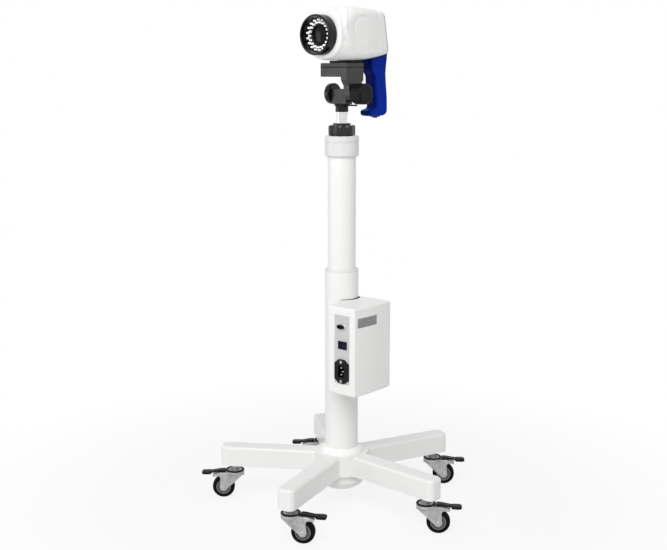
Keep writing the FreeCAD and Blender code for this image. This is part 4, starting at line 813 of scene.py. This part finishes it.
def tilt_knob():
    count = 144
    rings = []
    profile = [(12.0, 34.5, 0.0), (16.8, 34.5, 0.0), (17.3, 35.0, 0.0), (17.3, 37.6, 0.0), (19.6, 38.4, 0.3)]
    profile += [(20.7, 39.4, 0.8), (20.95, 41.0, 1.0), (20.95, 58.6, 1.0)]
    for r, h in arc(17.1, 61.0, 3.8, 20.0, 90.0, 7):
        profile.append((r, h, 0.5))
    profile += [(13.6, 64.8, 0.0), (13.0, 64.2, 0.0), (6.0, 64.0, 0.0), (1.0, 64.0, 0.0)]
    for radius, x, groove in profile:
        ring = []
        for index in range(count):
            angle = 2 * math.pi * index / count
            lobe = 0.5 + 0.5 * math.cos(KNOB_GROOVES * angle)
            r = radius - groove * GROOVE_DEPTH * lobe**6
            ring.append((x, r * math.cos(angle), TILT_Z + r * math.sin(angle)))
        rings.append(ring)
    bm = rings_mesh(rings)
    return piece("tilt_hand_knob", bm, "tilt_lock", "black_plastic", ("tilt_knob",), 30.0)


# Clamp nut, six soft lobes under a plain ring

NUT_LOBES = 6
NUT_TURN = -2.6
NUT_WAVE = 2.2
NUT_SOFTEN = 0.5


def clamp_nut():
    """Each row holds a radius, a height and a share of the lobes."""
    count = 192
    turn = math.radians(NUT_TURN)
    rows = [(15.4, 787.7, 0.0), (24.0, 787.7, 0.6), (25.6, 788.4, 0.9), (26.4, 790.0, 1.0)]
    rows += [(26.4, 804.8, 1.0), (25.8, 807.2, 0.9), (24.2, 808.5, 0.6), (18.6, 808.6, 0.0)]
    rows += [(18.2, 809.0, 0.0), (18.2, 812.0, 0.0), (17.7, 812.5, 0.0)]
    rows += [(11.6, 812.5, 0.0), (11.6, 787.7, 0.0)]
    rings = []
    for radius, z, share in rows:
        ring = []
        for index in range(count):
            angle = 2 * math.pi * index / count
            wave = NUT_WAVE * math.cos(NUT_LOBES * (angle - turn))
            wave -= NUT_SOFTEN * math.cos(2 * NUT_LOBES * (angle - turn))
            r = radius + share * wave
            ring.append((r * math.cos(angle), r * math.sin(angle), z))
        rings.append(ring)
    return piece("clamp_grip", looped_mesh(rings), "clamp", "black_knob", ("clamp_nut",), 40.0)


# Castors: local x is the trail, then turned and set under the arm

ARM_TURN = -2.6
CASTOR_R = 234.0
TRAIL = 25.0
WHEEL_R = 24.0
HEADINGS = (35.0, 39.0, 220.0, 222.0, 33.0)


def castor_place(index):
    angle = math.radians(ARM_TURN + 72.0 * index)
    shift = Matrix.Translation((CASTOR_R * math.cos(angle), CASTOR_R * math.sin(angle), 0.0))
    return shift @ Matrix.Rotation(math.radians(HEADINGS[index]), 4, "Z")


def slab(bm, outline, side, thickness, border, sink):
    """Plate standing in the side view, with a raised border on its outer face."""
    near = [bm.verts.new((x, side, z)) for x, z in outline]
    far = [bm.verts.new((x, side + thickness, z)) for x, z in outline]
    count = len(outline)
    for i in range(count):
        j = (i + 1) % count
        bm.faces.new((near[i], near[j], far[j], far[i]))
    bm.faces.new(near[::-1])
    face = bm.faces.new(far)
    bmesh.ops.inset_region(bm, faces=[face], thickness=border, depth=-sink, use_even_offset=True)


def block(bm, x0, x1, y0, y1, z0, z1):
    corners = []
    for x in (x0, x1):
        for y, z in ((y0, z0), (y1, z0), (y1, z1), (y0, z1)):
            corners.append(bm.verts.new((x, y, z)))
    for face in ((0, 1, 2, 3), (7, 6, 5, 4), (0, 4, 5, 1), (1, 5, 6, 2), (2, 6, 7, 3), (3, 7, 4, 0)):
        bm.faces.new([corners[k] for k in face])


def deck_part(bm, section, stations):
    """Length of the fork's bent top plate, drawn along its stations of place and height."""
    rings = []
    for x, z in stations:
        rings.append([(x, y, z + rise) for y, rise in section])
    rings_mesh(rings, bm=bm)


FORK_SIDE = 9.9
FORK_PLATE = 2.4
FORK_BORDER = 1.7
FORK_SINK = 0.8
NECK_R = 20.0
WEB_STEPS = 12
WEB_TOP = 55.0
WEB_LOW = 54.0
WEB_DROP = 4.5
WEB_INNER = 0.9
HOOP_Z = 61.2
HOOP_ROUND = 1.9


def fork_sides(bm):
    outline = [(-16.0, 54.5), (-16.0, 51.5), (17.8, 20.4)]
    outline += arc(TRAIL, WHEEL_R, 8.0, 208.0, 370.0, 16)
    outline += [(31.4, 40.0), (31.8, 46.0), (33.6, 48.6), (37.5, 49.6), (48.0, 48.6)]
    outline += [(48.3, 50.2), (31.0, 54.5)]
    for sign in (1, -1):
        slab(bm, outline, sign * FORK_SIDE, sign * FORK_PLATE, FORK_BORDER, FORK_SINK)


def fork_deck(bm):
    """Bent top plate with a window for the inner end of the foot lever."""
    full = ((-12.3, -2.6), (-12.3, -2.2), (-9.9, 0.0), (9.9, 0.0), (12.3, -2.2), (12.3, -2.6))
    left = ((-12.3, -2.6), (-12.3, -2.2), (-9.9, 0.0), (-6.6, 0.0), (-6.6, -2.6))
    right = tuple((-y, rise) for y, rise in left)
    window = ((27.8, 57.0), (31.0, 57.0), (36.2, 55.6))
    deck_part(bm, full, ((-16.0, 57.0), window[0]))
    deck_part(bm, left, window)
    deck_part(bm, right, window)
    deck_part(bm, full, (window[-1], (48.3, 52.4)))


def fork_neck(bm):
    profile = [(5.6, 54.0), (19.6, 54.0), (NECK_R, 54.4), (NECK_R, 56.6), (19.4, 57.0), (19.2, 60.6)]
    profile += [(17.0, 60.6), (16.8, 57.4), (5.6, 57.4)]
    lathe(profile, (0, 0, 0), "Z", 72, closed=True, bm=bm)


def fork_web(bm):
    """Curved apron under the neck, deepest in its middle."""
    web = []
    for step in range(WEB_STEPS + 1):
        angle = math.radians(128.0 + 104.0 * step / WEB_STEPS)
        low = WEB_LOW - WEB_DROP * math.cos(math.radians(-90.0 + 180.0 * step / WEB_STEPS))
        web.append((NECK_R * math.cos(angle), NECK_R * math.sin(angle), low))
    outer = [bm.verts.new(p) for p in web]
    upper = [bm.verts.new((x, y, WEB_TOP)) for x, y, z in web]
    inner = [bm.verts.new((x * WEB_INNER, y * WEB_INNER, z)) for x, y, z in web]
    above = [bm.verts.new((x * WEB_INNER, y * WEB_INNER, WEB_TOP)) for x, y, z in web]
    for i in range(WEB_STEPS):
        bm.faces.new((outer[i], outer[i + 1], upper[i + 1], upper[i]))
        bm.faces.new((inner[i + 1], inner[i], above[i], above[i + 1]))
        bm.faces.new((outer[i + 1], outer[i], inner[i], inner[i + 1]))


def axle_heads(index):
    tag = "abcde"[index]
    bm = bmesh.new()
    for sign in (1, -1):
        half = ((0.0, 13.4), (2.2, 13.4), (2.5, 14.6), (4.3, 14.3), (5.2, 13.2), (5.2, 11.0))
        head = [(radius, sign * out) for radius, out in half]
        lathe(head, (TRAIL, 0, WHEEL_R), "Y", 24, bm=bm)
    bm.transform(castor_place(index))
    return piece("axle_heads_" + tag, bm, "swivel_" + tag, "steel", (), 30.0)


def fork(index):
    tag = "abcde"[index]
    bm = bmesh.new()
    fork_sides(bm)
    fork_deck(bm)
    fork_neck(bm)
    fork_web(bm)
    bm.transform(castor_place(index))
    return piece("fork_frame_" + tag, bm, "swivel_" + tag, "zinc", ("fork_" + tag,), 30.0, 0.35)


def brake_hoop(index):
    tag = "abcde"[index]
    profile = arc(18.4, HOOP_Z, HOOP_ROUND, -90.0, 90.0, 8)
    profile += arc(17.4, HOOP_Z, HOOP_ROUND, 90.0, 270.0, 8)
    bm = lathe(profile, (0, 0, 0), "Z", 72, closed=True)
    bm.transform(castor_place(index))
    return piece("brake_hoop_" + tag, bm, "swivel_" + tag, "black_plastic", (), 40.0)


def tyre(index):
    tag = "abcde"[index]
    tread = [(24.0, 0.0), (24.0, 2.5), (23.8, 5.2), (23.2, 7.0), (22.0, 8.3), (20.2, 8.9), (18.4, 9.0)]
    side = [(16.6, 8.7), (16.2, 8.2)]
    profile = [(r, -h) for r, h in reversed(side)] + [(r, -h) for r, h in reversed(tread[1:])]
    profile += tread + side + [(16.0, 0.0)]
    bm = lathe(profile, (TRAIL, 0, WHEEL_R), "Y", 96, closed=True)
    bm.transform(castor_place(index))
    return piece("tyre_" + tag, bm, "roller_" + tag, "tyre", ("wheel_" + tag,), 40.0)


def wheel_hub(index):
    tag = "abcde"[index]
    half = [(15.9, 7.6), (15.4, 8.5), (14.2, 8.6), (13.9, 7.6)]
    half += [(12.4, 7.0), (8.4, 7.0), (7.6, 8.4), (4.1, 8.6)]
    profile = [(r, -h) for r, h in half] + [(r, h) for r, h in reversed(half)]
    bm = lathe(profile, (TRAIL, 0, WHEEL_R), "Y", 72, closed=True)
    bm.transform(castor_place(index))
    return piece("wheel_hub_" + tag, bm, "roller_" + tag, "hub_grey", (), 30.0)


# Foot lever: place along it, half width, low, high
LEVER_ROWS = (
    (20.7, 9.0, 57.7, 61.8),
    (24.0, 9.2, 57.8, 62.3),
    (30.0, 8.4, 58.0, 62.2),
    (34.0, 8.0, 57.7, 61.9),
    (40.0, 7.6, 56.8, 60.8),
    (48.0, 7.4, 56.0, 59.6),
    (50.6, 8.0, 55.3, 59.0),
    (52.0, 9.2, 52.6, 58.9),
    (62.0, 9.5, 52.2, 58.8),
    (69.0, 9.2, 52.4, 58.6),
    (71.4, 7.6, 53.4, 57.8),
    (72.0, 5.0, 54.6, 57.0),
)
RIB_COUNT, RIB_START, RIB_PITCH, RIB_WIDTH = 4, 54.0, 4.0, 1.6


def lever(index):
    """Foot lever with a waisted neck and a ribbed rounded pedal."""
    tag = "abcde"[index]
    rings = []
    for x, half, low, high in LEVER_ROWS:
        middle = (low + high) / 2
        ring = rounded_ring(half, (high - low) / 2, min((high - low) / 2, 2.0), 32)
        rings.append([(x, a, middle + b) for a, b in ring])
    bm = rings_mesh(rings)
    for step in range(RIB_COUNT):
        x = RIB_START + step * RIB_PITCH
        block(bm, x, x + RIB_WIDTH, -7.5, 7.5, 58.0, 59.4)
    block(bm, 29.4, 34.6, -5.8, 5.8, 49.2, 58.0)
    bm.transform(castor_place(index))
    return piece("foot_lever_" + tag, bm, "brake_" + tag, "black_plastic", ("brake_lever_" + tag,), 35.0, 0.5)


# Power box trim

BOX_FRONT = -82.0
BOX_BACK = 35.0
BOX_SIDE = 103.5
BOX_BULGE = 3.0
LABEL_Y = (-72.5, -15.0)
LABEL_Z = (412.0, 431.5)


def bulged_side(y):
    """Distance out of the box side, an arc through its two edges."""
    half = (BOX_BACK - BOX_FRONT) / 2
    radius = (half * half + BOX_BULGE * BOX_BULGE) / (2 * BOX_BULGE)
    offset = y - (BOX_FRONT + BOX_BACK) / 2
    return BOX_SIDE + BOX_BULGE - radius + math.sqrt(radius * radius - offset * offset)


def label():
    """Bare rating plate that follows the curve of the box side."""
    steps = 16
    rings = []
    for rise in (-0.4, 0.12):
        ring = []
        edge = []
        for k in range(steps + 1):
            edge.append(LABEL_Y[0] + (LABEL_Y[1] - LABEL_Y[0]) * k / steps)
        for y in edge:
            ring.append((bulged_side(y) + rise, y, LABEL_Z[0]))
        for y in reversed(edge):
            ring.append((bulged_side(y) + rise, y, LABEL_Z[1]))
        rings.append(ring)
    bm = bmesh.new()
    loops = [[bm.verts.new(p) for p in ring] for ring in rings]
    count = len(loops[0])
    for i in range(count):
        j = (i + 1) % count
        bm.faces.new((loops[0][i], loops[0][j], loops[1][j], loops[1][i]))
    for loop in loops:
        for k in range(steps):
            bm.faces.new((loop[k], loop[k + 1], loop[count - 2 - k], loop[count - 1 - k]))
    return piece("rating_plate", bm, "stand", "plate_grey", (), 30.0)


BAR_X = (67.8, 68.3)
RING_X, ROCKER_Z = 77.2, 374.3


def rocker_marks():
    """Plain bar and ring that mark on and off, laid on the two faces of the key."""
    bm = bmesh.new()
    block(bm, *BAR_X, -84.62, -84.2, 372.4, 376.2)
    outline = [(1.5, -83.3), (1.9, -83.3), (1.9, -82.9), (1.5, -82.9)]
    lathe(outline, (RING_X, 0, ROCKER_Z), "Y", 32, closed=True, bm=bm)
    return piece("rocker_marks", bm, "switch", "mark_blue", (), 30.0)


SOCKET_X, SOCKET_Z = 68.7, 411.8
PANEL_FACE = -81.6
CORE_SHIFT = -0.4
PIN_COUNT, PIN_START, PIN_PITCH = 4, -5.0, 3.1


def oval(half_x, half_z, y, shift=0.0, count=72):
    """Ring of an oval outline on the panel."""
    ring = []
    for index in range(count):
        angle = 2 * math.pi * index / count
        ring.append((SOCKET_X + shift + half_x * math.cos(angle), y, SOCKET_Z + half_z * math.sin(angle)))
    return ring


def socket_ring():
    face = PANEL_FACE - 1.7
    rings = [oval(11.5, 6.6, PANEL_FACE), oval(11.5, 6.6, PANEL_FACE - 1.2), oval(11.0, 6.1, face)]
    rings += [oval(9.6, 4.9, face), oval(9.4, 4.7, PANEL_FACE)]
    return piece("socket_ring", looped_mesh(rings), "stand", "steel", (), 30.0)


def socket_core():
    """Oval plug seat with its row of pins."""
    sections = ((9.2, 4.5, 0.0), (9.2, 4.5, -3.2), (8.6, 3.9, -3.9), (7.2, 3.0, -3.9), (7.0, 2.8, 3.0))
    rings = []
    for half_x, half_z, out in sections:
        rings.append(oval(half_x, half_z, PANEL_FACE + out, CORE_SHIFT))
    bm = rings_mesh(rings)
    pin = [(0.6, PANEL_FACE + 3.5), (0.6, PANEL_FACE - 1.0), (0.0, PANEL_FACE - 1.4)]
    for k in range(PIN_COUNT):
        centre = (SOCKET_X + PIN_START + PIN_PITCH * k, 0, SOCKET_Z)
        lathe(pin, centre, "Y", 12, bm=bm)
    return piece("socket_core", bm, "stand", "black_plastic", ("video_socket",), 30.0)


# Dark joint round the cup; painted shade as dark bands over the slide rail and at the tube in the top of the
# box

CUP_R = 50.0
TUBE_R = 35.3
SADDLE_FROM, SADDLE_SWEEP, SADDLE_STEPS = -52.0, 92.0, 24


def cup_seal():
    outer = CUP_R + 0.2
    profile = [(46.0, 74.9), (46.0, 72.4), (CUP_R, 72.2), (outer, 72.6), (outer, 74.9)]
    bm = lathe(profile, (0, 0, 0), "Z", 128, closed=True)
    return piece("cup_seal", bm, "stand", "rubber", (), 30.0)


# Painted shade: a dark strip standing in for the shadow in the gap over the slide rail.
def slide_painted_shade():
    bm = bmesh.new()
    block(bm, -34.45, 34.45, -26.2, 26.6, 923.2, 925.0)
    return piece("slide_painted_shade", bm, "tilt_frame", "rubber", (), 30.0)


# Painted shade: a dark band standing in for the shadow in the gap where the tube enters the top of the box.
def saddle_painted_shade():
    rings = []
    for step in range(SADDLE_STEPS + 1):
        heading = SADDLE_FROM + SADDLE_SWEEP * step / SADDLE_STEPS
        angle = math.radians(heading)
        outer = TUBE_R + 1.0 + 2.3 * smooth_step(SADDLE_FROM, 20.0, heading)
        ring = []
        for radius, z in ((TUBE_R, 449.0), (outer, 449.0), (outer, 452.5), (TUBE_R, 452.9)):
            ring.append((radius * math.cos(angle), radius * math.sin(angle), z))
        rings.append(ring)
    return piece("saddle_painted_shade", rings_mesh(rings), "stand", "rubber", (), 30.0)


for build in (head_shell, rear_cover, rear_seal, bezel, lamp_board, lamps, lens_ring, lens_front):
    build()
for build in (grip, grip_painted_shade, tilt_disc, tilt_knob, clamp_nut):
    build()
for castor in range(5):
    for build in (axle_heads, fork, brake_hoop, tyre, wheel_hub, lever):
        build(castor)
for build in (label, rocker_marks, socket_ring, socket_core, cup_seal, slide_painted_shade, saddle_painted_shade):
    build()

# Width of the rounding on the edges of the plain solids
ROUNDED = {
    "bracket": 1.1,
    "slide_plate": 0.9,
    "mount_shoe": 0.5,
    "pan_block": 0.3,
    "pan_lever": 0.4,
    "post_collar": 0.4,
    "top_collar": 0.7,
    "rim_bush": 0.6,
    "foot_collar": 0.8,
    "hub_cup": 0.6,
    "box_panel": 0.25,
    "mains_inlet": 0.25,
    "rocker_frame": 0.25,
    "rocker": 0.25,
    "grip_cap": 0.3,
    "box_shell": 0.4,
    "inlet_screws": 0.2,
    "chrome_post": 0.3,
}
for name, width in ROUNDED.items():
    finish_edges(nodes[name], 30.0, width)


# Stage

def plane(name, size, z, material):
    mesh = bpy.data.meshes.new(name)
    half = size / 2
    corners = [(-half, -half, z), (half, -half, z), (half, half, z), (-half, half, z)]
    mesh.from_pydata(corners, [], [(0, 1, 2, 3)])
    mesh.materials.append(material)
    obj = bpy.data.objects.new(name, mesh)
    bpy.context.scene.collection.objects.link(obj)
    return obj


def shows_background(tree):
    """One for rays that should meet the white background: seen, mirrored or seen through."""
    path = tree.nodes.new("ShaderNodeLightPath")
    value = path.outputs["Is Camera Ray"]
    for name in ("Is Glossy Ray", "Is Transmission Ray"):
        either = tree.nodes.new("ShaderNodeMath")
        either.operation = "MAXIMUM"
        tree.links.new(value, either.inputs[0])
        tree.links.new(path.outputs[name], either.inputs[1])
        value = either.outputs[0]
    return value


def floor_material():
    """Pale floor, white to the eye further out, that keeps the shadow near the wheels."""
    n = Nodes("floor_pale")
    away = n.add("ShaderNodeVectorMath", operation="LENGTH")
    n.link(n.place, away.inputs[0])
    share = n.span(away.outputs["Value"], FLOOR_SHARE, 1.0, FLOOR_NEAR, FLOOR_FAR)
    seen = n.add("ShaderNodeMath", operation="MULTIPLY")
    n.link(shows_background(n.tree), seen.inputs[0])
    n.link(share, seen.inputs[1])
    matt = n.add("ShaderNodeBsdfDiffuse")
    matt.inputs["Color"].default_value = (0.86, 0.86, 0.86, 1.0)
    glow = n.add("ShaderNodeEmission")
    glow.inputs["Color"].default_value = (1.0, 1.0, 1.0, 1.0)
    both = n.add("ShaderNodeMixShader")
    n.link(seen.outputs[0], both.inputs[0])
    n.link(matt.outputs[0], both.inputs[1])
    n.link(glow.outputs[0], both.inputs[2])
    n.link(both.outputs[0], n.out.inputs["Surface"])
    return n.material


def world():
    """Even light on the object before a white background."""
    scene_world = bpy.data.worlds.new("studio")
    scene_world.use_nodes = True
    tree = scene_world.node_tree
    tree.nodes.clear()
    out = tree.nodes.new("ShaderNodeOutputWorld")
    mix = tree.nodes.new("ShaderNodeMixShader")
    tree.links.new(shows_background(tree), mix.inputs[0])
    for place, strength in ((1, AMBIENT), (2, 1.0)):
        shade = tree.nodes.new("ShaderNodeBackground")
        shade.inputs["Color"].default_value = (1.0, 1.0, 1.0, 1.0)
        shade.inputs["Strength"].default_value = strength
        tree.links.new(shade.outputs[0], mix.inputs[place])
    tree.links.new(mix.outputs[0], out.inputs["Surface"])
    bpy.context.scene.world = scene_world


def area_light(name, azimuth, elevation, distance, size, power):
    """Soft light aimed at the middle of the object; azimuth is measured from the camera to its left."""
    data = bpy.data.lights.new(name, "AREA")
    data.shape = "RECTANGLE"
    data.size = size[0]
    data.size_y = size[1]
    data.energy = power
    obj = bpy.data.objects.new(name, data)
    bpy.context.scene.collection.objects.link(obj)
    heading = math.radians(CAMERA_TURN - 90.0 - azimuth)
    up = math.radians(elevation)
    aim = Vector((0.0, 0.0, 0.55))
    ray = Vector((math.cos(heading) * math.cos(up), math.sin(heading) * math.cos(up), math.sin(up)))
    obj.location = aim + ray * distance
    obj.rotation_euler = ray.to_track_quat("Z", "Y").to_euler()
    return obj


AMBIENT = 0.42
FLOOR_SHARE, FLOOR_NEAR, FLOOR_FAR = 0.84, 0.45, 0.95
plane("stage_floor", 14.0, 0.0, floor_material())
world()
area_light("key", 10.0, 38.0, 3.2, (2.4, 2.2), 68.0)
area_light("left_fill", 82.0, 2.0, 3.2, (1.0, 1.9), 13.0)

camera_data = bpy.data.cameras.new("camera")
camera_data.lens = CAMERA_LENS
camera_data.sensor_width = 36.0
camera_data.sensor_fit = "HORIZONTAL"
camera_data.clip_end = 60.0
camera = bpy.data.objects.new("camera", camera_data)
camera.location = CAMERA_PLACE
camera.rotation_euler = (math.radians(CAMERA_TILT), 0.0, math.radians(CAMERA_TURN))
bpy.context.scene.collection.objects.link(camera)
bpy.context.scene.camera = camera
bpy.context.scene.view_settings.view_transform = "Standard"
